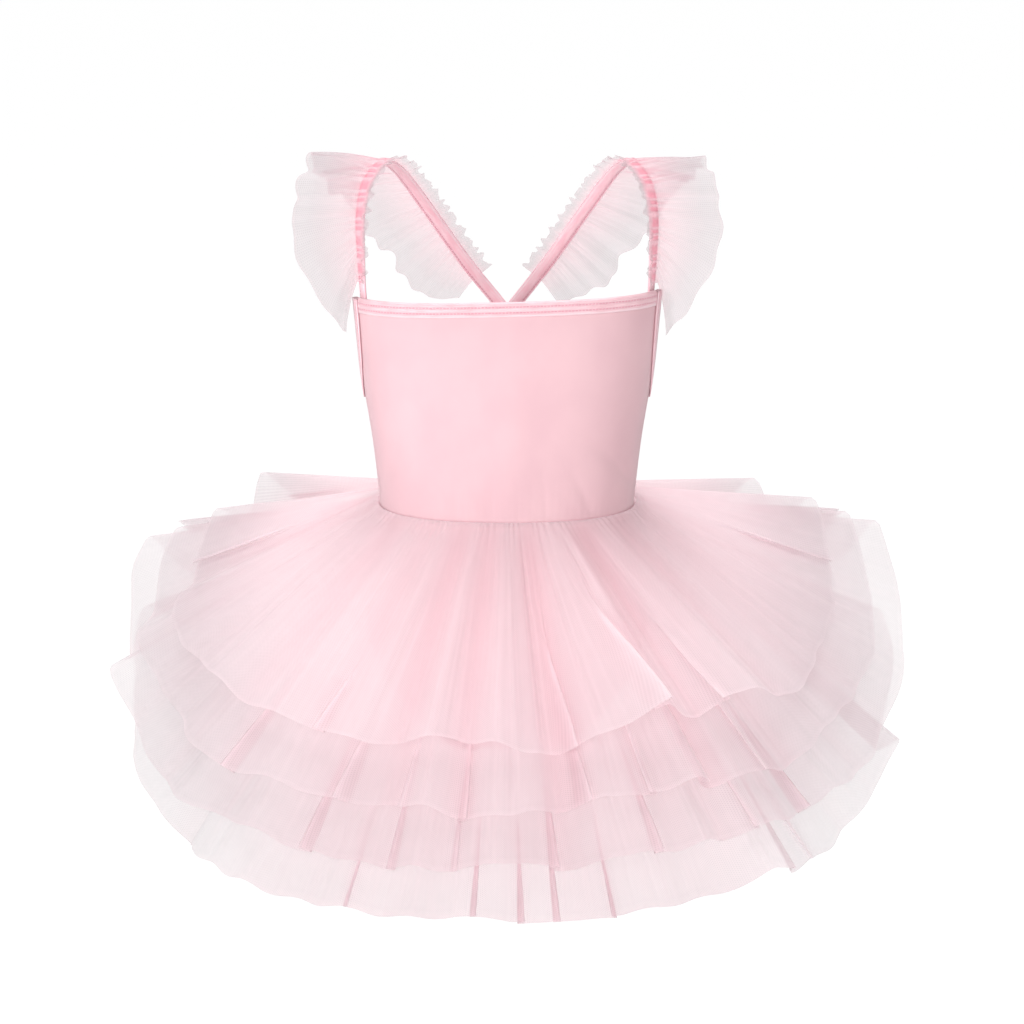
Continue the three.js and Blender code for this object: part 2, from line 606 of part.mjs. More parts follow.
addPiece("strap_frill_right", strapFrill(-1), TULLE_COLOUR, 0.8);
TIERS.forEach((tier, order) => {
  addPiece(`tulle_tier_${order + 1}_front`, tierHalf(order, true), TULLE_COLOUR, 0.8);
  addPiece(`tulle_tier_${order + 1}_back`, tierHalf(order, false), TULLE_COLOUR, 0.8);
});

export default part;
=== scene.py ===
"""A small child's ballet leotard with crossed frilled straps and a skirt of four tulle tiers.

Sizes are in millimetres, as in the part's source, and MM turns them into the scene's metres. Angles run
round the body from the middle of the front, positive towards the wearer's left.
"""

import math

import bpy
import numpy as np
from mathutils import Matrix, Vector


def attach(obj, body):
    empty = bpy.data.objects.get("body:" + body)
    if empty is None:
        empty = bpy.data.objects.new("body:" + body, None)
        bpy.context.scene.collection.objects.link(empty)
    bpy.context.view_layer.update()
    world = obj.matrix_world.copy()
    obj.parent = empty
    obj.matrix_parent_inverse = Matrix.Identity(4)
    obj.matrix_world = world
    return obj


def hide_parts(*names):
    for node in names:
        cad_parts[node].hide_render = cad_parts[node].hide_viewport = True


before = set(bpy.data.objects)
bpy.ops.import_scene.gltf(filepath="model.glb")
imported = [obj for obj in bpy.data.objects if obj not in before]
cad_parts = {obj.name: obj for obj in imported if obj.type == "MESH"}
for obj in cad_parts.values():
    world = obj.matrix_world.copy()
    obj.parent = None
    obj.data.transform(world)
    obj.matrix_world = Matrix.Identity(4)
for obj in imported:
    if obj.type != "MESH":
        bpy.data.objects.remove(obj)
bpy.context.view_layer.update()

MM = 0.001

# Cloth and seams
KNIT = 1.5
TULLE = 1.2  # room that a tier or a frill takes in the solids
SEAM_GAP = 0.3
BINDING_LIP = 0.8
BINDING_ROOM = 0.45
LEG_BINDING_ROOM = 1.1
BINDING_WIDTH = 9
STRAP_WIDTH = 9
STRAP_THICKNESS = 1.6

# Heights on the body
NECK_Z = -85
NECK_TILT = 0.025
UNDERARM_Z = -153
BACK_Z = -146
WAIST_Z = -236
LEG_TOP_Z = -316
HIP_Z = -339
CROTCH_Z = -414

NECK_CORNER = 75
NECK_BINDING_END = 69.2
SIDE_ANGLE = 89.99


def table(columns, rows):
    """A table with named columns, as a dictionary of arrays."""
    return {name: np.array([row[k] for row in rows], float) for k, name in enumerate(columns)}


# The worn form, level by level
BODY = table(
    ("z", "half_width", "half_depth", "squareness"),
    [
        (-414, 60, 60, 2.2), (-339, 94, 73, 2.3), (-294, 94, 73, 2.4), (-264, 91, 70.5, 2.4),
        (-236, 88.3, 68, 2.4), (-218, 89.5, 69, 2.45), (-187, 93, 70.5, 2.5), (-154, 98, 72, 2.6),
        (-120, 102.5, 72, 2.7), (-85, 106.5, 70, 2.8), (-60, 108.5, 68, 2.8),
    ],
)

# The wearer's left strap, from the front over the shoulder to the back, and where its face looks
STRAP = table(
    ("x", "y", "z", "out_x", "out_y", "out_z"),
    [
        (96.4, -33.4, -93, 0.9, -0.43, 0), (97.4, -33.2, -82, 0.9, -0.43, 0),
        (98.4, -33.5, -57, 0.82, -0.56, 0.05), (98.6, -32, -32, 0.7, -0.65, 0.25),
        (94.5, -22, -11, 0.45, -0.5, 0.75), (84, -3, 0.8, 0.05, 0, 1), (76, 17, -5.5, 0, 0.55, 0.82),
        (67, 36, -19.5, 0, 0.8, 0.6), (51, 53, -45, 0, 0.94, 0.34), (29, 63, -78, 0, 0.98, 0.18),
        (5, 67, -109, 0, 1, 0.08), (-24, 67.2, -147, -0.05, 1, 0), (-31, 66.7, -156, -0.1, 1, 0),
    ],
)
STRAP_LINE_STEPS = 240
CROSSING = 0.835
CROSSING_REACH = 0.1
CROSSING_STEP = STRAP_THICKNESS + 2 * SEAM_GAP

# The frill along the strap: the width of its free side and which way that falls
FRILL = table(
    ("along", "width", "out", "back", "up"),
    [
        (0.05, 36, 0.42, -0.14, -0.9), (0.1, 41, 0.68, -0.2, -0.7), (0.18, 42, 0.92, -0.22, -0.32),
        (0.28, 42, 0.98, -0.2, -0.08), (0.37, 50, 0.98, -0.08, -0.06), (0.45, 53, 0.93, 0.3, -0.14),
        (0.53, 52, 0.7, 0.55, -0.46), (0.62, 49, 0.42, 0.5, -0.76), (0.69, 40, 0.26, 0.38, -0.88),
        (0.745, 20, 0.2, 0.3, -0.9),
    ],
)
FRILL_WAVES = 18
FRILL_WAVE_STEPS = 26
FRILL_HEADER = 8
FRILL_CROWN = 1.5
FRILL_DEPTH = 5
FRILL_FULL = 30
FRILL_HEADER_DEPTH = 1.6
FRILL_HEADER_RISE = 1.2
FRILL_STITCH_DEPTH = 0.5
FRILL_SQUARE = 0.6
FRILL_TURN_IN = 1

# The skirt's tiers from the top down
# Lengths in millimetres, the area of the cut cloth in square metres, how deep its gathers are, how much
# its hem wanders, how far painted shade greys it on the front, how much denser cloth and painted highlight
# the doubled cloth of its pleats gets, and how much painted pink shade lies behind its pleats, in its
# valleys and over its front.
TIER_COLUMNS = (
    "column", "length", "cut", "area", "gather", "wander", "painted_falloff", "doubled", "pleat_shade", "valley", "front",
)
TIERS = [
    dict(zip(TIER_COLUMNS, row))
    for row in (
        ("top", 166, 1720, 0.2, 0.4125, 0.026, 0.2, 0, 0.5, 0.75, 0),
        ("second", 200, 1950, 0.27, 0.75, 0.022, 0.4, 0.2, 0.45, 1, 0.1),
        ("third", 230, 2100, 0.33, 0.75, 0.016, 0.65, 0.5, 0.25, 1, 0.4),
        ("bottom", 255, 2200, 0.38, 0.75, 0.006, 0.85, 0.6, 0.2, 1, 0.75),
    )
]
TIER_ROOM = 0.45
TIER_STEP = 5
TIER_LAP = 0.8  # the top tier laps over the bodice
WAIST_RADIUS = 80  # about, for distances round the skirt

# How far each tier stands out from the body, in degrees from straight down. A high row is a ridge
# and a low one a valley.
FOLDS = table(
    ("angle", "top", "second", "third", "bottom"),
    [
        (-180, 68, 62, 56, 50), (-170, 74, 68, 61, 55), (-161, 63, 58, 53, 47), (-152, 75, 70, 64, 57),
        (-145, 66, 61, 56, 50), (-131, 85, 76, 70, 63), (-127, 71, 70, 66, 59), (-120, 77.5, 77, 77, 66),
        (-115, 73, 73, 72.5, 60), (-111, 68, 67.5, 66.5, 55), (-104, 62, 61, 57, 48), (-95, 62, 61, 59, 45),
        (-88, 58, 53.5, 50, 41), (-80, 55, 49, 45, 37), (-76, 52, 46, 41, 32), (-66, 51, 46, 42, 35),
        (-57, 47, 42, 38.5, 35.5), (-48, 48, 43, 40, 36), (-38, 44, 40, 37, 33), (-31, 45, 38, 37, 33.5),
        (-23, 41, 37, 34, 31.5), (-16, 46, 41.5, 38.5, 32), (-9, 42, 37.5, 36.5, 35),
        (-2, 46, 42, 40, 32.5), (5, 42, 40.5, 36, 33), (11, 40, 37, 33, 31.5), (16, 46, 42.5, 41.5, 35),
        (23, 52, 44.5, 43, 34), (29, 59, 45, 42, 35), (33, 52, 49, 44, 34), (38, 48, 42.5, 40, 36),
        (42, 53, 46, 44.5, 43), (49, 56, 46, 43, 41), (57, 50, 43, 40, 33), (66, 50, 46, 43, 35),
        (76, 51, 48, 44, 36), (86, 54, 51, 48.5, 43), (94, 60, 59, 58, 50), (98, 62, 61.5, 61, 44),
        (106, 68, 67, 66.5, 52), (112, 75.5, 74, 73, 60), (118, 81.5, 81, 81, 66), (123, 74, 73, 71, 62),
        (127, 74.5, 72, 68, 60), (131, 83.5, 76, 71, 65), (138, 70, 65, 60, 54), (147, 75, 70, 65, 59),
        (155, 63, 58, 54, 48), (164, 72, 66, 61, 55), (172, 63, 58, 53, 47), (180, 68, 62, 56, 50),
    ],
)

# Creases pressed into the tulle: where each starts at the waist and ends at the hem in
# degrees, the share of the length where it starts, its depth and its half width in millimetres, and the
# share where it ends, if that is above the hem. A negative depth is a soft ridge.
CREASES = {
    "top": [
        (-160, -163, 0.1, 4, 7), (-142, -146, 0.2, 3, 5), (-118, -122, 0, 3, 6, 0.8),
        (-99, -101, 0.2, 3, 7), (-84, -88, 0, 2.5, 5, 0.7), (-73, -70, 0.3, 3, 6),
        (-62, -66, 0, -2.5, 5, 0.6), (-54, -51, 0.35, 2.5, 6), (-43, -44, 0, 2.5, 4, 0.9),
        (-35, -33, 0.1, -2, 4, 0.7), (-27, -29, 0.2, 3, 4), (-19, -20, 0, 2, 3, 0.75),
        (-13, -12, 0.3, 3, 4), (-5, -6, 0, 2, 3, 0.9), (1, 2, 0.1, -2.5, 3), (7, 8, 0.02, 7, 3.5),
        (11, 12, 0, -3, 3), (16, 19, 0, 4.5, 3.5), (20, 24, 0.1, -3, 4), (26, 31, 0, 8, 4.5),
        (33, 37, 0.15, -3, 4), (40, 45, 0, 4, 5, 0.9), (50, 53, 0.3, 3, 6), (63, 66, 0, 2.5, 6, 0.7),
        (79, 80, 0.3, 3, 8), (95, 92, 0.1, 2.5, 6, 0.9), (109, 108, 0.3, 3, 7), (126, 124, 0, 3, 6, 0.8),
        (143, 145, 0.2, 4, 6), (158, 161, 0, 3.5, 6), (176, 178, 0.1, 3.5, 6, 0.9),
    ],
    "second": [
        (-170, -167, 0.2, 3.5, 7), (-136, -140, 0.1, 3, 6), (-108, -110, 0.2, 3, 7), (-84, -83, 0.2, 3, 7),
        (-64, -62, 0.3, 3, 7), (-47, -43, 0.2, 3.5, 6), (-33, -34, 0.3, 3.5, 5), (-20, -19, 0.3, 3, 4),
        (-9, -10, 0.4, 3, 4), (2, 1, 0.3, 3.5, 4), (12, 13, 0.2, 4, 4), (22, 20, 0.3, 3, 4),
        (29, 30, 0.2, 5, 5), (41, 40, 0.3, 4, 6), (55, 53, 0.3, 4, 7), (73, 71, 0.3, 3, 7),
        (98, 101, 0.2, 3, 7), (128, 132, 0.2, 3.5, 7), (158, 155, 0.2, 3.5, 7),
    ],
    "third": [
        (-158, -160, 0.2, 3.5, 8), (-124, -127, 0.3, 3, 7), (-91, -93, 0.3, 3, 8), (-70, -72, 0.3, 3.5, 8),
        (-52, -54, 0.3, 3, 7), (-41, -40, 0.4, 4, 6), (-26, -27, 0.4, 4, 5), (-14, -13, 0.4, 4, 5),
        (-3, -5, 0.4, 4, 5), (7, 8, 0.4, 4, 5), (19, 20, 0.4, 4, 5), (33, 36, 0.3, 4, 6),
        (49, 51, 0.3, 4, 7), (66, 67, 0.3, 4, 8), (88, 90, 0.3, 3, 8), (112, 109, 0.3, 3, 8),
        (150, 152, 0.2, 3.5, 8),
    ],
    "bottom": [
        (-172, -175, 0.2, 4, 8), (-139, -137, 0.3, 4, 8), (-106, -108, 0.3, 4, 8), (-85, -84, 0.4, 4, 8),
        (-62, -60, 0.4, 4, 8), (-45, -44, 0.5, 4, 7), (-34, -35, 0.5, 5, 6), (-26, -27, 0.5, 4, 5),
        (-17, -19, 0.5, 5, 5), (-6, -7, 0.5, 4, 5), (3, 2, 0.5, 5, 5), (13, 13, 0.5, 5, 6),
        (28, 27, 0.5, 5, 6), (43, 45, 0.4, 5, 7), (60, 62, 0.4, 5, 8), (80, 83, 0.3, 5, 8),
        (104, 102, 0.3, 4, 8), (137, 140, 0.3, 4, 8), (165, 163, 0.2, 4, 8),
    ],
}
# Pleats where a tier doubles back over itself: where each starts at the waist and ends at the hem in
# degrees, the share of the length where it starts, how far the cloth goes back and how far its layers
# stand apart at the hem in millimetres, and which way its free edge looks.
PLEATS = {
    "top": [
        (-166, -168, 0.3, 8, 3, 1), (-137, -138, 0.35, 9, 3, -1), (-107, -109, 0.3, 8, 3, 1),
        (-37, -39, 0.6, 6, 2, -1), (10, 13, 0.35, 6.5, 3, 1), (24, 28, 0.25, 9, 4, 1),
        (38, 43, 0.4, 7.5, 3, -1), (104, 106, 0.3, 8, 3, -1), (134, 136, 0.35, 9, 3, 1),
        (169, 172, 0.3, 8, 3, -1),
    ],
    "second": [
        (-155, -153, 0.3, 9.5, 3, -1), (-122, -121, 0.3, 9.5, 3, 1), (-55, -57, 0.4, 7.6, 3, -1),
        (-31, -33, 0.5, 7.6, 3, -1), (-19, -20, 0.55, 6.4, 3, -1), (-8, -8.5, 0.55, 6.8, 3.5, 1),
        (13, 14.5, 0.5, 7.6, 4, 1), (24, 26, 0.5, 6.8, 3, -1), (32, 35.5, 0.4, 8.9, 5, 1),
        (45, 48.5, 0.45, 7.6, 3, -1), (119, 120, 0.3, 9.5, 3, -1), (147, 149, 0.3, 9.5, 3, 1),
    ],
    "third": [
        (-175, -176, 0.3, 10.5, 3, 1), (-142, -144, 0.3, 10.5, 3, -1), (-36, -37.5, 0.5, 6.5, 2.8, -1),
        (-21, -21.5, 0.55, 5.9, 2.4, -1), (-9, -9.5, 0.6, 4.7, 2.1, 1), (8, 9, 0.55, 6.5, 3.5, 1),
        (23, 25, 0.55, 5.6, 2.8, 1), (40, 42.5, 0.5, 5.9, 2.8, -1), (55, 58, 0.45, 6.5, 2.8, 1),
        (133, 135, 0.3, 10.5, 3, -1), (163, 165, 0.3, 10.5, 3, 1),
    ],
    "bottom": [
        (-163, -165, 0.3, 10.5, 3, 1), (-130, -128, 0.3, 10.5, 3, -1), (-28, -29.5, 0.6, 4.8, 2.8, 1),
        (-5, -6, 0.6, 4.8, 2.8, 1), (2, 2.5, 0.6, 4.5, 2.8, 1), (8, 9, 0.6, 4.5, 2.8, 1),
        (17, 18.5, 0.6, 4.5, 2.1, -1), (59, 63, 0.5, 5.2, 2.8, -1), (149, 151, 0.3, 10.5, 3, 1),
    ],
}
CREASE_STRENGTH = 0.55
PAST_HEM = 1.1
FOLD_RISE = 1.5  # a fold shows as a line from this many degrees on
GATHERS = 118  # small gathers round the waist of each tier
GATHER_REACH = 15  # they smooth out over this much of the length
RIPPLES = 52  # soft ripples that grow towards a hem
RIPPLE_DEPTH = 0.35


def smooth(low, high, value):
    """Rises from 0 at low to 1 at high, with soft ends."""
    share = np.clip((np.asarray(value, float) - low) / (high - low), 0, 1)
    return share * share * (3 - 2 * share)


def row_at(rows, key, value):
    """A table's columns at any values of its key, along smooth curves through the rows."""
    keys = rows[key]
    last = len(keys) - 1
    at = np.clip(np.asarray(value, float), keys[0], keys[last])
    i = np.clip(np.searchsorted(keys, at, "right") - 1, 0, last - 1)
    span = keys[i + 1] - keys[i]
    t = (at - keys[i]) / span
    before, after = np.maximum(i - 1, 0), np.minimum(i + 2, last)
    found = {}
    for name, column in rows.items():
        p, q = column[i], column[i + 1]
        m = (q - column[before]) / (keys[i + 1] - keys[before]) * span
        n = (column[after] - p) / (keys[after] - keys[i]) * span
        found[name] = (
            p * (2 * t**3 - 3 * t**2 + 1)
            + m * (t**3 - 2 * t**2 + t)
            + q * (3 * t**2 - 2 * t**3)
            + n * (t**3 - t**2)
        )
    return found


def points(x, y, z):
    return np.stack(np.broadcast_arrays(x, y, z), axis=-1).astype(float)


def unit(vectors):
    return vectors / np.maximum(np.linalg.norm(vectors, axis=-1, keepdims=True), 1e-9)


def aside_from(middle, angle, radius):
    """How far round the body places lie from a line down it, in millimetres."""
    return np.radians((angle - middle + 180) % 360 - 180) * radius


def bodice_point(angle, z):
    """The body above the waist, by angle and height."""
    level = row_at(BODY, "z", z)
    s, c = np.sin(np.radians(angle)), np.cos(np.radians(angle))
    n = level["squareness"]
    total = np.abs(s / level["half_width"]) ** n + np.abs(c / level["half_depth"]) ** n
    radius = total ** (-1 / n)
    return points(radius * s, -radius * c, z)


def brief_point(angle, down):
    """The body below the waist: down is 0 at the waist, 1 at the hip and 2 at the crotch."""
    down = np.asarray(down, float)
    upper = bodice_point(angle, WAIST_Z + (HIP_Z - WAIST_Z) * np.minimum(down, 1))
    hip = row_at(BODY, "z", HIP_Z)
    turn = np.radians(90 * (down - 1))
    half_width = hip["half_width"] * (1 - 0.4 * np.sin(turn) ** 2)
    half_depth = hip["half_depth"] * np.cos(turn)
    lower = points(
        half_width * np.sin(np.radians(angle)),
        -half_depth * np.cos(np.radians(angle)),
        HIP_Z + (CROTCH_Z - HIP_Z) * np.sin(turn),
    )
    return np.where((down <= 1)[..., None], upper, lower)


def mesh_object(name, vertices, faces, uvs, attributes=None):
    """A mesh from places in millimetres. uvs and attributes hold one row for each vertex."""
    mesh = bpy.data.meshes.new(name)
    mesh.from_pydata((vertices * MM).tolist(), [], faces)
    layer = mesh.uv_layers.new(name="Cloth")
    corners = np.empty(len(mesh.loops), int)
    mesh.loops.foreach_get("vertex_index", corners)
    layer.data.foreach_set("uv", (uvs[corners] * MM).astype(np.float32).ravel())
    for key, values in (attributes or {}).items():
        mesh.attributes.new(key, "FLOAT", "POINT").data.foreach_set("value", values.astype(np.float32))
    mesh.polygons.foreach_set("use_smooth", [True] * len(mesh.polygons))
    mesh.validate()
    piece = bpy.data.objects.new(name, mesh)
    bpy.context.scene.collection.objects.link(piece)
    return piece


def grid_faces(columns, rows):
    """The four-sided faces of a grid of places, column by column."""
    return [
        (k, k + rows, k + rows + 1, k + 1)
        for i in range(columns - 1)
        for k in range(i * rows, (i + 1) * rows - 1)
    ]


def sheet_object(name, grid, uv, joined=False, attributes=None):
    """One layer of cloth through grid[column][row], its first and last columns joined or not."""
    faces = grid_faces(*grid.shape[:2])
    flat = {key: values.reshape(-1) for key, values in (attributes or {}).items()}
    piece = mesh_object(name, grid.reshape(-1, 3), faces, uv.reshape(-1, 2), flat)
    if joined:
        piece.modifiers.new("Join", "WELD").merge_threshold = 0.02 * MM
        graph = bpy.context.evaluated_depsgraph_get()
        welded = bpy.data.meshes.new_from_object(piece.evaluated_get(graph))
        piece.modifiers.clear()
        piece.data = welded
    return piece


def wall_object(name, grid, thickness, uv):
    """Closed cloth of even thickness whose middle is a grid of places."""
    columns, rows = grid.shape[:2]
    normals = unit(np.cross(np.gradient(grid, axis=0), np.gradient(grid, axis=1)))
    outer = (grid + normals * thickness / 2).reshape(-1, 3)
    inner = (grid - normals * thickness / 2).reshape(-1, 3)
    half = columns * rows
    faces = []
    for face in grid_faces(columns, rows):
        faces += [face, tuple(half + k for k in reversed(face))]
    rim = [i * rows for i in range(columns - 1)]
    rim += [(columns - 1) * rows + j for j in range(rows - 1)]
    rim += [i * rows + rows - 1 for i in range(columns - 1, 0, -1)]
    rim += list(range(rows - 1, 0, -1))
    for a, b in zip(rim, rim[1:] + rim[:1]):
        faces.append((b, a, half + a, half + b))
    uvs = np.tile(uv.reshape(-1, 2), (2, 1))
    return outwards(mesh_object(name, np.vstack([outer, inner]), faces, uvs))


def outwards(piece):
    """Turns a closed piece's faces so that they look out of it."""
    mesh = piece.data
    corners = [np.array([mesh.vertices[v].co for v in p.vertices]) for p in mesh.polygons]
    volume = sum(
        np.dot(c[0], np.cross(c[k], c[k + 1])) for c in corners for k in range(1, len(c) - 1)
    )
    if volume < 0:
        mesh.flip_normals()
    return piece


def swept_object(name, rings, uv, joined):
    """A closed piece through equal rings of places: rings[ring][corner]."""
    count, around = rings.shape[:2]
    faces = []
    for i in range(count if joined else count - 1):
        near, far = i * around, (i + 1) % count * around
        for k in range(around):
            after = (k + 1) % around
            faces.append((near + k, near + after, far + after, far + k))
    if not joined:
        faces.append(tuple(range(around)))
        faces.append(tuple((count - 1) * around + k for k in reversed(range(around))))
    return outwards(mesh_object(name, rings.reshape(-1, 3), faces, uv.reshape(-1, 2)))


def lengths_along(line):
    """How far along a line of places each place lies."""
    steps = np.linalg.norm(np.diff(line, axis=0), axis=-1)
    return np.concatenate([[0], np.cumsum(steps)])


def cloth_uv(grid):
    """Distances across and down a grid of places, in millimetres."""
    middle = grid[:, grid.shape[1] // 2]
    across = np.repeat(lengths_along(middle)[:, None], grid.shape[1], axis=1)
    down = np.stack([lengths_along(column) for column in grid])
    return np.stack([across, down], axis=-1)


def ring_uv(along, section):
    """Distances along a band and across it, for each corner of its rings."""
    across = np.array([x for x, _ in section])
    return np.stack(np.broadcast_arrays(along[:, None], across), axis=-1)


def armhole_angle(share):
    turn = NECK_CORNER + (90 - NECK_CORNER) * (1 - np.cos(np.radians(90 * np.asarray(share, float))))
    return np.minimum(turn, SIDE_ANGLE)


def top_edge_z(angle):
    """The height of the bodice's top edge: neckline, armholes and back."""
    angle = (np.asarray(angle, float) + 180) % 360 - 180
    side = np.where(angle < 0, -1, 1)
    round_ = np.abs(angle)
    neck = NECK_Z + NECK_TILT * bodice_point(angle, NECK_Z)[..., 0]
    corner = NECK_Z + NECK_TILT * bodice_point(side * NECK_CORNER, NECK_Z)[..., 0]
    turn = np.arccos(np.clip(1 - (round_ - NECK_CORNER) / (90 - NECK_CORNER), -1, 1))
    armhole = corner + (UNDERARM_Z - corner) * np.sin(turn)
    back = UNDERARM_Z + (BACK_Z - UNDERARM_Z) * np.sin(np.radians(round_ - 90)) ** 2
    return np.where(round_ <= NECK_CORNER, neck, np.where(round_ >= 90, back, armhole))


# Soft folds in the knit: the angle and height of each one's middle, its length, its slope against the
# level, its depth and half width
KNIT_FOLDS = [
    (-62, -205, 60, 35, 0.7, 5), (-47, -222, 40, 55, 0.6, 4), (-28, -226, 30, 75, 0.25, 4),
    (-9, -224, 26, 85, 0.25, 4), (2, -190, 150, 90, -1.6, 20), (6, -226, 30, 95, 0.2, 4),
    (21, -222, 34, 100, 0.3, 4), (41, -220, 40, 120, 0.6, 4), (60, -204, 56, 140, 0.8, 5),
    (72, -140, 46, 50, 0.2, 5), (-72, -140, 44, 130, 0.2, 5), (110, -214, 50, 40, 0.8, 5),
    (138, -222, 36, 70, 0.7, 4), (168, -224, 30, 85, 0.7, 3), (196, -222, 32, 95, 0.7, 4),
    (224, -216, 46, 120, 0.8, 5), (248, -200, 54, 145, 0.7, 5),
]
WAIST_GATHERS = 96
WAIST_GATHER_DEPTH = 0.12


def knit_relief(angle, z):
    """How far the knit stands proud of the worn form, in millimetres."""
    ring = 88
    relief = np.zeros(np.shape(angle))
    for middle, level, length, slope, depth, width in KNIT_FOLDS:
        across = aside_from(middle, angle, ring)
        up = z - level
        c, s = math.cos(math.radians(slope)), math.sin(math.radians(slope))
        along, aside = across * c + up * s, up * c - across * s
        relief -= depth * np.exp(-((along / (length / 2)) ** 2)) * np.exp(-((aside / width) ** 2))
    near_waist = np.exp(-np.abs(z - WAIST_Z) / 9)
    gathers = np.sin(np.radians(angle) * WAIST_GATHERS + 1.3 * np.sin(np.radians(angle) * 7))
    return relief + WAIST_GATHER_DEPTH * near_waist * gathers


def knit_panel(name, angles, rows):
    """The front or the back of the bodice."""
    angles = np.asarray(angles, float)[:, None]
    top, bottom = top_edge_z(angles), WAIST_Z + SEAM_GAP / 2
    z = top + (bottom - top) * np.linspace(0, 1, rows)[None, :]
    angles = np.broadcast_to(angles, z.shape)
    grid = bodice_point(angles, z)
    relief = knit_relief(angles, z) * smooth(0, BINDING_WIDTH, top - z)
    grid = grid + unit(grid * np.array([1, 1, 0])) * relief[..., None]
    return wall_object(name, grid, KNIT, cloth_uv(grid))


LEG_TOP = (LEG_TOP_Z - WAIST_Z) / (HIP_Z - WAIST_Z)
CROTCH = 1.9985
CROTCH_ANGLE = 30
BRIEF_TOP = 0.0015


def leg_edge_angle(down, is_front):
    share = np.clip((np.asarray(down, float) - LEG_TOP) / (CROTCH - LEG_TOP), 0, 1)
    cut = 1 - (1 - share) ** 1.6 if is_front else share**1.35
    return 90 - (90 - CROTCH_ANGLE) * cut


def brief_panel(name, is_front):
    across = np.sin(np.linspace(-90, 90, 61) * math.pi / 180)[:, None]
    down = np.concatenate([np.linspace(BRIEF_TOP, LEG_TOP, 24), np.linspace(LEG_TOP, CROTCH, 48)[1:]])
    down = np.broadcast_to(down[None, :], (len(across), len(down)))
    middle = 0 if is_front else 180
    angle = middle + across * np.minimum(leg_edge_angle(down, is_front), SIDE_ANGLE)
    grid = brief_point(angle, down)
    return wall_object(name, grid, KNIT, cloth_uv(grid))


def surface_steps(surface, u, v):
    """How a surface runs along u and along v."""
    step = 1e-3
    du = (surface(u + step, v) - surface(u - step, v)) / (2 * step)
    dv = (surface(u, v + step) - surface(u, v - step)) / (2 * step)
    return du, dv


def numeric_normal(surface, u, v):
    normal = unit(np.cross(*surface_steps(surface, u, v)))
    place = surface(u, v)
    looks = (normal * place * np.array([1, 1, 0])).sum(-1) + normal[..., 2] * (place[..., 2] - WAIST_Z) * 0.3
    return np.where((looks < 0)[..., None], -normal, normal)


def nearest_place(surface, u, v, target):
    """Where on a surface the points near it lie."""
    for _ in range(6):
        miss = target - surface(u, v)
        du, dv = surface_steps(surface, u, v)
        a, b, c = (du * du).sum(-1), (du * dv).sum(-1), (dv * dv).sum(-1)
        p, q = (miss * du).sum(-1), (miss * dv).sum(-1)
        size = a * c - b * b
        u = u + (p * c - q * b) / size
        v = v + (a * q - b * p) / size
    return u, v


def binding_section(room):
    """Once round the folded binding: how far over the cloth, and how far out of the cloth's middle."""
    inner = KNIT / 2 + room
    outer = inner + BINDING_LIP
    back = SEAM_GAP + BINDING_LIP
    round_ = [(-back * math.cos(t), outer * math.sin(t)) for t in np.radians([30, 0, -30])]
    front = [(BINDING_WIDTH, outer), (BINDING_WIDTH * 0.5, outer + 0.12), (0.6, outer)]
    rear = [(0.6, -outer), (BINDING_WIDTH * 0.5, -outer), (BINDING_WIDTH, -outer)]
    inside = [(BINDING_WIDTH, -inner), (-SEAM_GAP, -inner), (-SEAM_GAP, inner), (BINDING_WIDTH, inner)]
    return front + round_ + rear + inside


def binding(name, surface, u, v, cloth, joined, room=BINDING_ROOM):
    """The binding over an edge of a surface. cloth is the side of the edge that the cloth lies on."""
    section = binding_section(room)
    place, normal = surface(u, v), numeric_normal(surface, u, v)
    if joined:
        tangent = unit(np.roll(place, -1, axis=0) - np.roll(place, 1, axis=0))
    else:
        tangent = unit(np.gradient(place, axis=0))
    into = unit(np.cross(normal, tangent)) * cloth
    far_u, far_v = nearest_place(surface, u, v, place + into * BINDING_WIDTH)
    far, far_normal = surface(far_u, far_v), numeric_normal(surface, far_u, far_v)
    rings = []
    for x, y in section:
        share = np.clip(x / BINDING_WIDTH, 0, 1)
        base = place + (far - place) * share + into * min(x, 0)
        rings.append(base + unit(normal + (far_normal - normal) * share) * y)
    rings = np.stack(rings, axis=1)
    return swept_object(name, rings, ring_uv(lengths_along(place), section), joined)


def curve_through(rows, count):
    """The centripetal curve through rows of places, at even steps of its own parameter."""
    rows = np.asarray(rows, float)
    ends = np.vstack([2 * rows[0] - rows[1], rows, 2 * rows[-1] - rows[-2]])
    found = []
    for t in np.linspace(0, len(rows) - 1, count):
        i = min(int(t), len(rows) - 2)
        w = t - i
        p0, p1, p2, p3 = ends[i : i + 4]
        d0, d1, d2 = (
            max(np.linalg.norm(b - a) ** 0.5, 1e-4) for a, b in ((p0, p1), (p1, p2), (p2, p3))
        )
        m = ((p1 - p0) / d0 - (p2 - p0) / (d0 + d1) + (p2 - p1) / d1) * d1
        n = ((p2 - p1) / d1 - (p3 - p1) / (d1 + d2) + (p3 - p2) / d2) * d1
        found.append(
            p1 + m * w + (3 * (p2 - p1) - 2 * m - n) * w**2 + (2 * (p1 - p2) + m + n) * w**3
        )
    return np.array(found)


STRAP_FINE = 2401
STRAP_CURVE, STRAP_FACES = (
    curve_through(np.stack([STRAP[key] for key in keys], axis=1), STRAP_FINE)
    for keys in (("x", "y", "z"), ("out_x", "out_y", "out_z"))
)
STRAP_LENGTHS = lengths_along(STRAP_CURVE)
STRAP_LENGTH = STRAP_LENGTHS[-1]


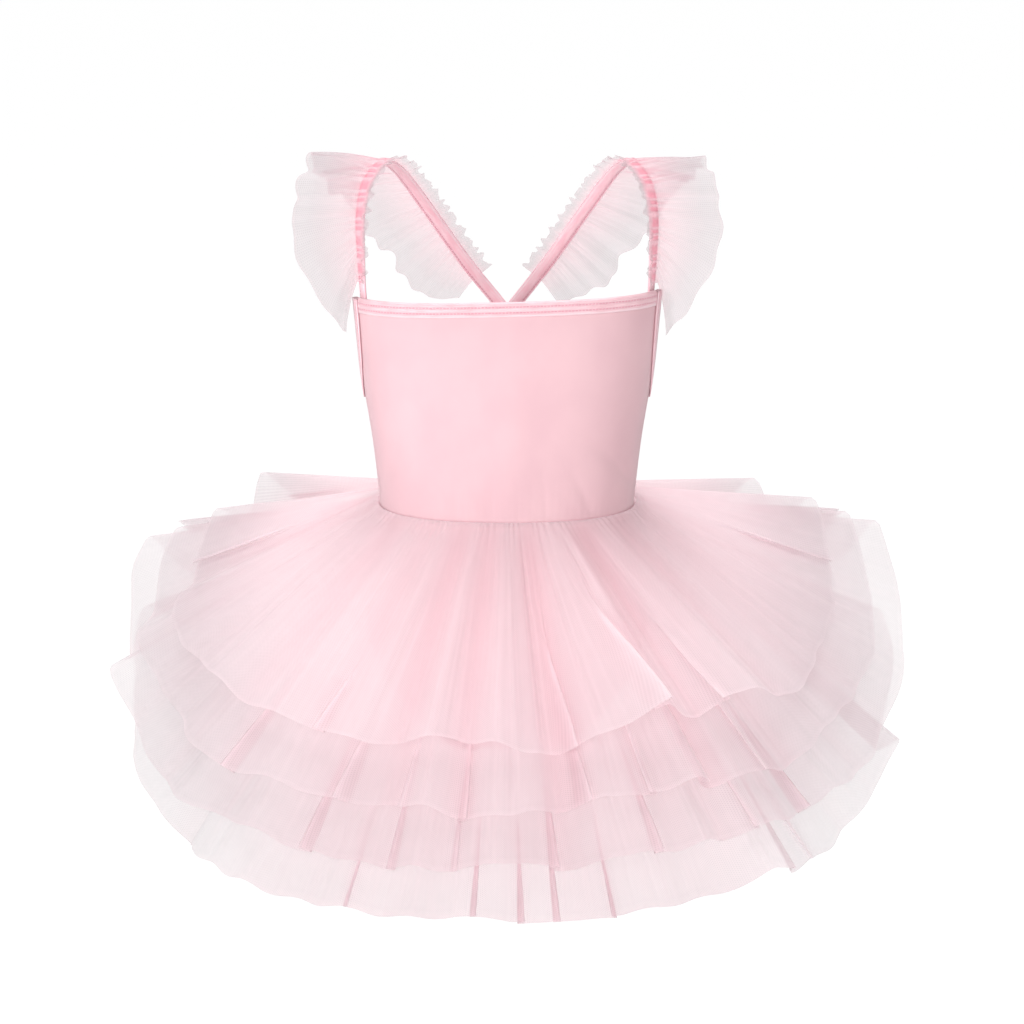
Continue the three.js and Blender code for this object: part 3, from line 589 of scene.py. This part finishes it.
def strap_places(along, level):
    """The middle of the wearer's left strap and its directions: along, out, and across."""
    along = np.asarray(along, float)
    at = np.interp(along * STRAP_LENGTH, STRAP_LENGTHS, np.arange(STRAP_FINE))

    def pick(line):
        return np.stack([np.interp(at, np.arange(STRAP_FINE), line[:, k]) for k in range(3)], axis=-1)

    tangents = unit(np.gradient(STRAP_CURVE, axis=0))
    place, tangent, out = pick(STRAP_CURVE), unit(pick(tangents)), pick(STRAP_FACES)
    out = unit(out - tangent * (out * tangent).sum(-1, keepdims=True))
    across = unit(np.cross(tangent, out))
    turned = (along < CROSSING) & (across[..., 0] < 0)
    across = np.where(turned[..., None], -across, across)
    near = 1 - np.minimum(np.abs(along - CROSSING) / CROSSING_REACH, 1)
    lift = level * CROSSING_STEP * smooth(0, 0.7, near) / 2
    return place + out * lift[..., None], tangent, out, across


def strap(name, side):
    """A folded elastic strap with soft edges. side is 1 for the wearer's left and -1 for the right."""
    along = np.linspace(0, 1, STRAP_LINE_STEPS + 1)
    place, _, out, across = strap_places(along, -side)
    half, thick = STRAP_WIDTH / 2, STRAP_THICKNESS / 2
    section = [(-half, -0.4), (-half + 0.5, -thick), (half - 0.5, -thick), (half, -0.4)]
    section += [(half, 0.4), (half - 0.5, thick), (half * 0.4, thick * 0.86)]
    section += [(-half * 0.4, thick * 0.86), (-half + 0.5, thick), (-half, 0.4)]
    rings = np.stack([place + across * x + out * y for x, y in section], axis=1)
    rings[..., 0] *= side
    return swept_object(name, rings, ring_uv(along * STRAP_LENGTH, section), False)


def strap_frill(name, side):
    """The gathered frill: rows run from the header's edge over the strap to the free edge."""
    share = np.linspace(0, 1, FRILL_WAVES * FRILL_WAVE_STEPS + 1)
    first, last = FRILL["along"][0], FRILL["along"][-1]
    along = first + (last - first) * share
    turns = FRILL_WAVES * 2 * math.pi * share
    uneven = 0.9 * np.sin(turns * 0.31 + side) + 0.7 * np.sin(turns * 0.17 + 2.1)
    wave = np.sin(turns + uneven)
    broad = np.sin(turns * 0.37 + 1.2 * np.sin(turns * 0.11 + side) + side)
    crest = 0.5 * wave * (0.6 + 0.4 * np.sin(turns * 0.23 + 0.7 * side)) + 0.5 * broad
    fine = np.sin(turns * 2.6 + 1.7 * np.sin(turns * 0.4)) * 0.5 + np.sin(turns * 4.1 + side) * 0.3
    place, tangent, out, across = strap_places(along, -side)
    shape = row_at(FRILL, "along", along)
    fall = unit(points(shape["out"], shape["back"], shape["up"]))
    fall = unit(fall - tangent * (fall * tangent).sum(-1, keepdims=True) * FRILL_SQUARE)
    sag = 0.75 * (1 - smooth(first, 0.2, along))
    fall = unit(fall * (1 - sag)[:, None] + points(0, 0, -1) * sag[:, None])
    face = unit(np.cross(fall, tangent))
    face = np.where(((face * out).sum(-1) < 0)[..., None], -face, face)
    on_strap = STRAP_THICKNESS / 2 + SEAM_GAP + TULLE / 2 + FRILL_STITCH_DEPTH
    edge = STRAP_WIDTH / 2 - FRILL_TURN_IN
    base = place + out * on_strap
    rows = []
    tuck = np.sin(turns * 2.1 + 2 * np.sin(turns * 0.7 + side)) + 0.3 * fine
    scallop = 1 + 0.16 * np.sin(turns * 1.4 + 1.5 * np.sin(turns * 0.3)) + 0.1 * np.sin(turns * 2.3 + side)
    for step in np.linspace(1, 0, 5)[:-1]:
        header_wave = (FRILL_HEADER_DEPTH * wave + 0.7 * fine) * step + FRILL_STITCH_DEPTH * wave * (1 - step)
        rise = FRILL_HEADER_RISE * step + header_wave
        rows.append(base - across * (edge + FRILL_HEADER * step * scallop)[:, None] + out * rise[:, None])
    for step in np.linspace(-1, 1, 5):
        pucker = FRILL_STITCH_DEPTH * (wave + 0.9 * fine * (1 - abs(step)))
        pucker = pucker + 1.1 * np.maximum(tuck, 0) * (1 - step * step)
        rows.append(base + across * edge * step + out * pucker[:, None])
    outer = rows[-1]
    full = np.minimum(1, shape["width"] / FRILL_FULL)
    notch = 1 - 0.1 * np.exp(-(((along - 0.27) / 0.012) ** 2))
    notch -= 0.07 * np.exp(-(((along - 0.61) / 0.01) ** 2))
    ragged = (1 + 0.02 * np.sin(turns * 0.9 + side) + 0.025 * np.sin(turns * 0.41)) * notch
    for step in np.linspace(0, 1, 19)[1:]:
        depth = FRILL_DEPTH * crest * step**0.8 + 0.8 * fine * (1 - step) ** 0.8 * smooth(0, 0.2, step)
        rows.append(
            outer
            + fall * (shape["width"] * step * ragged)[:, None]
            + out * (FRILL_CROWN * 4 * (1 - step) * step)
            + face * (depth * full)[:, None]
        )
    grid = np.stack(rows, axis=1)
    grid[..., 0] *= side
    level = np.concatenate([-np.linspace(1, 0, 5)[:-1], np.zeros(5), np.linspace(0, 1, 19)[1:]])[None, :]
    # Painted shade: the frill greys towards its free edge.
    painted_falloff = smooth(0.05, 0.8, np.abs(level)) * 0.9 + 0 * wave[:, None]
    near = np.exp(-np.abs(level) / 0.13)
    # Painted pink shade in the tuck valleys along the stitching.
    pucker_shade = near * smooth(0.3, -0.5, tuck)[:, None] + 0.15 * near
    # Denser cloth and a painted highlight on the tuck crests by the stitching and along both edges.
    density_and_highlight = 0.4 * smooth(0.97, 1, np.abs(level)) + 0.9 * near * smooth(0, 0.9, tuck)[:, None]
    attributes = {"painted_falloff": painted_falloff, "density_and_highlight": density_and_highlight, "painted_pink_shade": pucker_shade * 1.9}
    return sheet_object(name, grid, cloth_uv(grid), attributes=attributes)


def crease_relief(column, angle, share, radius):
    """Troughs and ridges pressed into a tier, and where they are sharp."""
    relief, sharp = np.zeros(angle.shape), np.zeros(angle.shape)
    grown = 0.35 + 0.65 * share
    for waist, hem, start, depth, width, *above in CREASES[column]:
        end = above[0] if above else PAST_HEM
        aside = aside_from(waist + (hem - waist) * share, angle, radius)
        width = width * grown
        reach = smooth(start - 0.02, start + 0.25, share) * (1 - smooth(end - 0.25, end, share))
        relief -= CREASE_STRENGTH * depth * reach * np.exp(-np.abs(aside / width) ** 1.5) * grown
        rim = np.exp(-(((np.abs(aside) - width * 1.1) / (0.35 * width)) ** 2))
        sharp = np.maximum(sharp, reach * rim * min(abs(depth) / 8, 1))
    return relief, sharp


def pleat_shift(column, angle, share, radius, doubled):
    """How pleats move a tier sideways and outwards, where their edges are, and where painted shade falls
    behind them.

    The doubled cloth of a pleat gets as much painted highlight and denser cover as doubled says.
    """
    sideways, relief, edges, shadow = (np.zeros(angle.shape) for _ in range(4))
    for waist, hem, start, back, apart, side in PLEATS[column]:
        aside = aside_from(waist + (hem - waist) * share, angle, radius)
        grown = smooth(start - 0.02, 1.05, share) ** 0.7
        half = back / 2
        t = aside / half
        swing = grown * 1.65 * t * np.exp(-t * t / 2)
        sideways -= back * swing
        relief -= side * apart * swing
        open_ = smooth(0.25, 0.6, grown)
        free = side * aside
        # Lines of denser cloth and painted highlight: each pleat's free edge, its fold and its doubled cloth.
        for edge in (
            np.exp(-(((free + half) / 1.5) ** 2)),
            0.3 * np.exp(-(((free - half) / 1.5) ** 2)),
            doubled * np.exp(-(t**4)),
        ):
            edges = np.maximum(edges, open_ * edge)
        # Painted pink shade on the cloth just behind each pleat's free edge.
        behind = smooth(-half, half, free) * np.exp(-np.maximum(free - half, 0) / 9)
        shadow = np.maximum(shadow, open_ * behind)
    return sideways, relief, edges, shadow


def fold_lean(angle, column):
    """How far a tier stands out, in radians, its folds rounded a little."""
    spread = ((-1.3, 0.25), (0, 0.5), (1.3, 0.25))
    return np.radians(
        sum(part * np.interp(angle + aside, FOLDS["angle"], FOLDS[column]) for aside, part in spread)
    )


def fold_lines(column, direction, full, width, angle, radius):
    """How near a tier's ridges (direction 1) or valleys (-1) are, from 0 to 1."""
    angles, leans = FOLDS["angle"], FOLDS[column]
    near = np.zeros(angle.shape)
    for k in range(1, len(angles) - 1):
        rise = direction * (leans[k] - (leans[k - 1] + leans[k + 1]) / 2)
        if rise > FOLD_RISE:
            aside = np.radians(angle - angles[k]) * radius
            near = np.maximum(near, min(rise / full, 1) * np.exp(-((aside / width) ** 2)))
    return near


def tier(name, order):
    """One tier of the skirt, all the way round, from its seam to its hem."""
    sizes = TIERS[order]
    column, length = sizes["column"], sizes["length"]
    steps = np.concatenate([np.linspace(0, 0.22, 12), np.linspace(0.22, 1, 40)[1:]])
    flat_angle, share = np.meshgrid(np.linspace(-180, 180, 1201), steps, indexing="ij")
    turn, down = np.radians(flat_angle), share * length
    radius = WAIST_RADIUS + down * np.sin(fold_lean(flat_angle, column))
    relief, sharp = crease_relief(column, flat_angle, share, radius)
    sideways, raised, edges, shadow = pleat_shift(column, flat_angle, share, radius, sizes["doubled"])
    gather = np.sin(turn * (GATHERS + 7 * order) + 2.2 * np.sin(turn * 9 + order) + 1.1 * np.sin(turn * 23))
    gather = gather * (0.55 + 0.45 * np.sin(turn * 17 + 2 * np.sin(turn * 5 + order)))
    ripple = np.sin(turn * (RIPPLES + 5 * order) + 3 * np.sin(turn * 5 + 1.7 * order))
    relief += raised + sizes["gather"] * gather * np.exp(-down / GATHER_REACH) * smooth(0, 0.02, share)
    relief += RIPPLE_DEPTH * ripple * (0.6 + 0.4 * np.sin(turn * 11 + order)) * smooth(0.2, 1, share)
    relief += np.exp(-(((down - 2.5) / 3) ** 2)) * (0.9 + 0.25 * gather)

    angle = flat_angle + np.degrees(sideways / radius)
    lean = fold_lean(angle, column)
    out = points(np.sin(np.radians(angle)), -np.cos(np.radians(angle)), 0)
    falling = out * np.sin(lean)[..., None] + points(0, 0, -np.cos(lean))
    standing = out * np.cos(lean)[..., None] + points(0, 0, np.sin(lean))
    top = WAIST_Z + TIER_LAP if order == 0 else WAIST_Z - SEAM_GAP - TULLE / 2 - TIER_STEP * order
    seam = bodice_point(angle, top) + out * (KNIT / 2 + TIER_ROOM + TULLE / 2)
    wander = np.sin(turn * 7 + 2.1 * order) * 0.6 + np.sin(turn * 12 + 1.3 * order + 1) * 0.4
    wander = 0.005 * np.sin(turn * 31 + 2 * np.sin(turn * 4 + order)) + sizes["wander"] * wander
    grid = seam + falling * (down * (1 + wander * share))[..., None] + standing * relief[..., None]
    uv = np.stack([turn / (2 * math.pi) * sizes["cut"], down], axis=-1)

    # Denser cloth and a painted highlight on ridges, crease rims, pleat edges, along the waist seam and at
    # the hem.
    ridge = fold_lines(column, 1, 8, 2.6, flat_angle, radius)
    density_and_highlight = np.clip(np.maximum.reduce([ridge * 0.3, sharp * 0.25, edges]), 0, 1)
    density_and_highlight = np.maximum(density_and_highlight, 0.8 * np.exp(-down / 2.5) + 0.25 * np.exp(-down / 22))
    density_and_highlight = np.maximum(density_and_highlight, 0.2 * smooth(1 - 2.2 / length, 1 - 1.2 / length, share))
    round_ = np.abs(flat_angle)
    # Painted shade: the tulle greys towards the hem and round the sides, away from the lit middle of the
    # front.
    painted_falloff = smooth(0.35, 1, share) * (sizes["painted_falloff"] + (1 - sizes["painted_falloff"]) * smooth(40, 100, round_))
    # Painted pink shade in fold valleys, behind pleats, in the waist gathers and over the front of the lower
    # tiers.
    valley = fold_lines(column, -1, 7, 11, flat_angle, radius)
    painted_pink_shade = np.maximum(shadow * sizes["pleat_shade"], valley * sizes["valley"]) * (1 - 0.5 * painted_falloff)
    near_waist = np.exp(-down / 20) * (0.04 - 0.08 * gather)
    painted_pink_shade = np.maximum.reduce([painted_pink_shade, near_waist, sizes["front"] * (1 - smooth(25, 70, round_))])
    attributes = {"painted_falloff": painted_falloff, "density_and_highlight": density_and_highlight, "painted_pink_shade": painted_pink_shade}
    return sheet_object(name, grid, uv, joined=True, attributes=attributes)


def shade(red, green, blue):
    """A colour as seen on a screen, from 0 to 255, as the linear colour that a shader takes."""
    parts = [v / 255 for v in (red, green, blue)]
    return tuple(v / 12.92 if v <= 0.04045 else ((v + 0.055) / 1.055) ** 2.4 for v in parts) + (1,)


class Finish:
    """A material and short ways to add its nodes."""

    def __init__(self, name):
        self.material = bpy.data.materials.new(name)
        self.material.use_nodes = True
        self.tree = self.material.node_tree
        self.tree.nodes.clear()
        self.output = self.tree.nodes.new("ShaderNodeOutputMaterial")

    def node(self, kind, settings=None, **sockets):
        made = self.tree.nodes.new(kind)
        for key, value in (settings or {}).items():
            setattr(made, key, value)
        for key, value in sockets.items():
            self.feed(made.inputs[key.replace("_", " ")], value)
        return made

    def feed(self, socket, value):
        if isinstance(value, bpy.types.NodeSocket):
            self.tree.links.new(value, socket)
        else:
            socket.default_value = value

    def maths(self, operation, *values):
        made = self.node("ShaderNodeMath", {"operation": operation})
        for socket, value in zip(made.inputs, values):
            self.feed(socket, value)
        return made.outputs[0]

    def plus(self, first, second):
        return self.maths("ADD", first, second)

    def minus(self, first, second):
        return self.maths("SUBTRACT", first, second)

    def times(self, first, second):
        return self.maths("MULTIPLY", first, second)

    def near(self, value, middle, full, gone, most=1.0):
        """Most within full of the middle, and 0 from gone on."""
        return self.ramp(self.maths("ABSOLUTE", self.minus(value, middle)), full, gone, most, 0.0)

    def attribute(self, name):
        return self.node("ShaderNodeAttribute", {"attribute_name": name}).outputs["Fac"]

    def ramp(self, value, low, high, out_low=0.0, out_high=1.0):
        ends = {"From_Min": low, "From_Max": high, "To_Min": out_low, "To_Max": out_high}
        made = self.node("ShaderNodeMapRange", {"interpolation_type": "SMOOTHSTEP"}, Value=value, **ends)
        return made.outputs[0]

    def cloth_place(self):
        """Places across and down the cloth, in metres."""
        uv = self.node("ShaderNodeUVMap", {"uv_map": "Cloth"})
        return uv.outputs[0], self.node("ShaderNodeSeparateXYZ", Vector=uv.outputs[0]).outputs

    def stretched(self, vector, across, down):
        scale = self.node("ShaderNodeVectorMath", {"operation": "MULTIPLY"})
        self.feed(scale.inputs[0], vector)
        scale.inputs[1].default_value = (across, down, 1)
        return scale.outputs[0]

    def noise(self, vector, scale, detail=2.0, roughness=0.5):
        made = self.node("ShaderNodeTexNoise", Vector=vector, Scale=scale, Detail=detail, Roughness=roughness)
        return made.outputs[0]

    def mixed(self, factor, first, second):
        made = self.node("ShaderNodeMix", {"data_type": "RGBA"}, Factor=factor)
        self.feed(made.inputs[6], first)
        self.feed(made.inputs[7], second)
        return made.outputs[2]

    def bump(self, height, distance, strength=1.0, normal=None):
        made = self.node("ShaderNodeBump", Height=height, Distance=distance, Strength=strength)
        if normal is not None:
            self.feed(made.inputs["Normal"], normal)
        return made.outputs[0]

    def blend(self, factor, first, second):
        """Two shaders mixed: none of the second at 0 and all of it at 1."""
        made = self.node("ShaderNodeMixShader", Fac=factor)
        self.feed(made.inputs[1], first.outputs[0])
        self.feed(made.inputs[2], second.outputs[0])
        return made

    def done(self, shader):
        self.tree.links.new(shader.outputs[0], self.output.inputs["Surface"])
        return self.material


def knit_finish():
    """Fine matt stretch knit: tiny ribs down it, a little colour variation and a soft bloom."""
    finish = Finish("stretch_knit")
    uv, (across, down, _) = finish.cloth_place()
    rib = finish.maths("SINE", finish.times(across, 2 * math.pi / (1.1 * MM)))
    loop = finish.maths("SINE", finish.times(down, 2 * math.pi / (0.9 * MM)))
    weave = finish.times(rib, loop)
    cloudy = finish.noise(finish.stretched(uv, 1, 0.7), 26, 3)
    colour = finish.mixed(finish.ramp(cloudy, 0.3, 0.7), shade(218, 178, 185), shade(223, 184, 190))
    soft = finish.bump(cloudy, 0.0006, 0.35)
    shader = finish.node(
        "ShaderNodeBsdfPrincipled",
        Base_Color=colour,
        Roughness=finish.ramp(cloudy, 0.2, 0.8, 0.5, 0.6),
        Specular_IOR_Level=0.35,
        Sheen_Weight=0.25,
        Sheen_Roughness=0.4,
        Sheen_Tint=(1, 0.93, 0.95, 1),
        Normal=finish.bump(weave, 0.00004, 0.6, soft),
    )
    return finish.done(shader)


STITCH_LENGTH = 2.3 * MM
STITCH_ROWS = (2.2 * MM, 6 * MM)


def satin_finish(name, dark, light, stitch_rows, rim):
    """Shiny folded elastic with fine cross ribs, rows of short stitches in grooves darkened by painted shade,
    and a painted highlight along the folded rim.
    """
    finish = Finish(name)
    uv, (along, across, _) = finish.cloth_place()
    rib = finish.maths("SINE", finish.times(along, 2 * math.pi / (0.8 * MM)))
    cloudy = finish.noise(finish.stretched(uv, 1, 4), 90, 3)
    colour = finish.mixed(finish.ramp(cloudy, 0.3, 0.7), shade(*dark), shade(*light))
    height = finish.times(rib, 0.25)
    dash = finish.near(finish.maths("FRACT", finish.maths("DIVIDE", along, STITCH_LENGTH)), 0.5, 0.3, 0.4)
    for row in stitch_rows:
        groove_and_shade = finish.near(across, row, 0.4 * MM, 1.1 * MM)
        stitch = finish.times(finish.near(across, row, 0.25 * MM, 0.5 * MM), dash)
        # Painted shade darkens each stitch groove, which the bump also presses in.
        colour = finish.mixed(finish.times(groove_and_shade, 0.2), colour, shade(236, 172, 188))
        colour = finish.mixed(finish.times(stitch, 0.75), colour, shade(226, 146, 166))
        height = finish.minus(finish.plus(height, finish.times(stitch, 2.2)), finish.times(groove_and_shade, 1.4))
    # Painted highlight: a light line at rim across the band.
    edge = finish.near(across, rim, 0.2 * MM, 1 * MM, 0.45)
    colour = finish.mixed(edge, colour, shade(255, 236, 241))
    shader = finish.node(
        "ShaderNodeBsdfPrincipled",
        Base_Color=colour,
        Roughness=finish.ramp(cloudy, 0.2, 0.8, 0.3, 0.42),
        Specular_IOR_Level=0.6,
        Sheen_Weight=0.2,
        Normal=finish.bump(height, 0.0002, 0.8),
    )
    return finish.done(shader)


NET_CELL = 1.2 * MM


def tulle_finish(name, cover, lit_colour, shaded_colour):
    """Fine six-sided net, seen through between its threads, with faint streaks down the cloth.

    A lit and a shaded colour mixed by painted shade, painted pink shade in folds and painted highlight on
    creases.
    """
    finish = Finish(name)
    uv, (across, down, _) = finish.cloth_place()
    turn = 2 * math.pi / NET_CELL
    slant = finish.times(down, turn * math.sqrt(3) / 2)
    level = finish.times(across, turn / 2)
    net = finish.maths("COSINE", finish.times(across, turn))
    net = finish.plus(net, finish.maths("COSINE", finish.plus(level, slant)))
    net = finish.plus(net, finish.maths("COSINE", finish.minus(level, slant)))
    streak = finish.noise(finish.stretched(uv, 190, 12), 1, 2, 0.5)
    cloudy = finish.noise(finish.stretched(uv, 16, 13), 1, 3)
    density_and_highlight, painted_falloff, painted_pink_shade = (finish.attribute(key) for key in ("density_and_highlight", "painted_falloff", "painted_pink_shade"))
    amount = finish.ramp(streak, 0.25, 0.75, cover - 0.008, cover + 0.008)
    for more in (
        finish.ramp(cloudy, 0.25, 0.75, -0.03, 0.035),
        finish.ramp(net, -0.6, 1.6, 0.04, -0.04),
        # Denser cloth on folds and edges.
        finish.times(density_and_highlight, 0.3),
        # Thinner net where that painted shade is strongest, on the far sides.
        finish.ramp(painted_falloff, 0.75, 1, 0, -0.1),
    ):
        amount = finish.plus(amount, more)
    amount = finish.maths("MINIMUM", finish.maths("MAXIMUM", amount, 0.05), 0.95)
    # The lit colour mixed towards the shaded one by the painted shade.
    colour = finish.mixed(painted_falloff, lit_colour, shaded_colour)
    # Painted pink shade in folds, behind pleats, in gathers and puckers.
    colour = finish.mixed(finish.times(painted_pink_shade, 0.45), colour, shade(249, 182, 196))
    # Painted highlight on folds, edges, the waist seam and the hem.
    colour = finish.mixed(finish.times(density_and_highlight, 0.6), colour, shade(255, 240, 244))
    front = finish.node("ShaderNodeBsdfDiffuse", Color=colour)
    through = finish.node("ShaderNodeBsdfTranslucent", Color=colour)
    clear = finish.node("ShaderNodeBsdfTransparent")
    return finish.done(finish.blend(amount, clear, finish.blend(0.5, front, through)))


KNIT_FINISH = knit_finish()
# The last number is where the band's painted highlight runs.
BINDING_FINISH = satin_finish("binding_satin", (228, 182, 190), (236, 196, 203), STITCH_ROWS, 8.2 * MM)
STRAP_FINISH = satin_finish("strap_satin", (252, 198, 209), (255, 215, 223), (3 * MM,), -3.4 * MM)
# Each tulle's cover, its lit colour and its colour under painted shade.
TIER_FINISH = tulle_finish("skirt_tulle", 0.52, shade(252, 240, 243), shade(231, 221, 224))
FRILL_FINISH = tulle_finish("frill_tulle", 0.5, shade(243, 207, 215), shade(211, 198, 202))


def dressed(piece, finish, nodes):
    """Gives a piece of cloth its finish, hangs it from the root and hides the solids that it stands for."""
    clothed(piece, finish, nodes)
    return piece


def clothed(piece, finish, nodes):
    piece.data.materials.clear()
    piece.data.materials.append(finish)
    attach(piece, "root")
    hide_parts(*nodes)
    return piece


def make_bodice():
    right = -armhole_angle(np.linspace(1, 0, 17))
    neck = np.linspace(-NECK_BINDING_END, NECK_BINDING_END, 141)
    front_angles = np.concatenate([right, neck, -right[::-1]])
    front = knit_panel("bodice_front_cloth", front_angles, 64)
    back = knit_panel("bodice_back_cloth", np.linspace(180 - SIDE_ANGLE, 180 + SIDE_ANGLE, 161), 44)
    dressed(front, KNIT_FINISH, ["front_bodice"])
    dressed(back, KNIT_FINISH, ["back_bodice"])
    return front, back


def make_brief():
    for half, is_front, area in (("front", True, 0.036), ("back", False, 0.042)):
        piece = brief_panel(f"brief_{half}_cloth", is_front)
        dressed(piece, KNIT_FINISH, [f"brief_{half}"])


def make_bindings(front, back):
    neck = np.linspace(-NECK_BINDING_END, NECK_BINDING_END, 161)
    rear = np.linspace(180 - SIDE_ANGLE, 180 + SIDE_ANGLE, 161)
    armhole = armhole_angle(np.linspace(0, 1, 49))
    for name, node, angle, cloth, length, rests in (
        ("neck_band", "neck_binding", neck, -1, 0.24, front),
        ("back_band", "back_binding", rear, -1, 0.27, back),
        ("armhole_band_left", "armhole_binding_left", armhole, -1, 0.08, front),
        ("armhole_band_right", "armhole_binding_right", -armhole, 1, 0.08, front),
    ):
        piece = binding(name, bodice_point, angle, top_edge_z(angle), cloth, False)
        dressed(piece, BINDING_FINISH, [node])
    down = np.concatenate([np.linspace(LEG_TOP, 0.98, 20), np.linspace(0.98, CROTCH, 60)[1:]])
    up = down[1:-1][::-1]
    u = np.concatenate([leg_edge_angle(down, True), 180 - leg_edge_angle(up, False)])
    v = np.concatenate([down, up])
    for label in ("left", "right"):
        piece = binding(f"leg_band_{label}", brief_point, u, v, -1, True, LEG_BINDING_ROOM)
        if label == "right":
            mirror(piece)
        dressed(piece, BINDING_FINISH, [f"leg_binding_{label}"])


def mirror(piece):
    """Turns a piece into its mirror image across the body's middle."""
    for vertex in piece.data.vertices:
        vertex.co.x = -vertex.co.x
    piece.data.flip_normals()


def make_straps():
    for label, side in (("left", 1), ("right", -1)):
        band = strap(f"strap_{label}_band", side)
        clothed(band, STRAP_FINISH, [f"strap_{label}"])
        frill = strap_frill(f"frill_{label}_tulle", side)
        dressed(
            frill, FRILL_FINISH, [f"strap_frill_{label}"],
        )


def make_skirt():
    for order, sizes in enumerate(TIERS):
        piece = tier(f"skirt_tier_{order + 1}", order)
        halves = [f"tulle_tier_{order + 1}_{half}" for half in ("front", "back")]
        dressed(
            piece, TIER_FINISH, halves,
        )


FLOOR_Z = -0.78


def make_stage():
    bpy.ops.mesh.primitive_plane_add(size=60, location=(0, 0, FLOOR_Z))
    floor = bpy.context.object
    floor.name = "floor"
    finish = Finish("pale_floor")
    shader = finish.node("ShaderNodeBsdfDiffuse", Color=(0.88, 0.88, 0.88, 1))
    floor.data.materials.append(finish.done(shader))


def add_light(kind, name, power, place=(0, 0, 0), aim=(0, 0, -1), **settings):
    lamp = bpy.data.lights.new(name, kind)
    lamp.energy = power
    for key, value in settings.items():
        setattr(lamp, key, value)
    light = bpy.data.objects.new(name, lamp)
    light.location = place
    light.rotation_euler = (Vector(aim) - Vector(place)).to_track_quat("-Z", "Y").to_euler()
    bpy.context.scene.collection.objects.link(light)
    return light


def make_lights():
    world = bpy.data.worlds.new("studio")
    world.use_nodes = True
    sky = world.node_tree.nodes["Background"].inputs
    sky["Color"].default_value = (1, 1, 1, 1)
    sky["Strength"].default_value = 0.23
    bpy.context.scene.world = world
    add_light("AREA", "front", 31.5, (-0.1, -2.6, 0.8), (0, 0, -0.25), shape="DISK", size=1.2)
    cone = {"spot_size": math.radians(10.5), "spot_blend": 1, "shadow_soft_size": 0.2}
    add_light("SPOT", "bodice", 205, (-1.95, -1.72, 0.1), (-0.01, -0.05, -0.15), **cone)
    overhead = add_light("SUN", "overhead", 2.9, angle=math.radians(50))
    overhead.rotation_euler = (math.radians(-12), 0, 0)
    bpy.context.scene.view_settings.view_transform = "Standard"
    bpy.context.scene.cycles.transparent_max_bounces = 48


# The photograph's camera: how steeply it looks down, how far it stands from the middle of the waist
# seam, and where that point lies in the frame, in pixels of 1024
LOOK_DOWN = 13.6
STANDS_OFF = 2.0
PIXEL = 0.7 * MM
FRAME = 1024
SEAM_AT = (507, 500)


def make_camera():
    lens = bpy.data.cameras.new("camera")
    lens.sensor_width = 36
    lens.lens = STANDS_OFF / PIXEL / FRAME * lens.sensor_width
    lens.shift_x = (FRAME / 2 - SEAM_AT[0]) / FRAME
    lens.shift_y = -(FRAME / 2 - SEAM_AT[1]) / FRAME
    camera = bpy.data.objects.new("camera", lens)
    down = math.radians(LOOK_DOWN)
    camera.location = (0, -STANDS_OFF * math.cos(down), WAIST_Z * MM + STANDS_OFF * math.sin(down))
    camera.rotation_euler = (math.pi / 2 - down, 0, 0)
    bpy.context.scene.collection.objects.link(camera)
    bpy.context.scene.camera = camera


make_camera()
make_lights()
make_stage()
bodice_front, bodice_back = make_bodice()
make_brief()
make_bindings(bodice_front, bodice_back)
make_straps()
make_skirt()
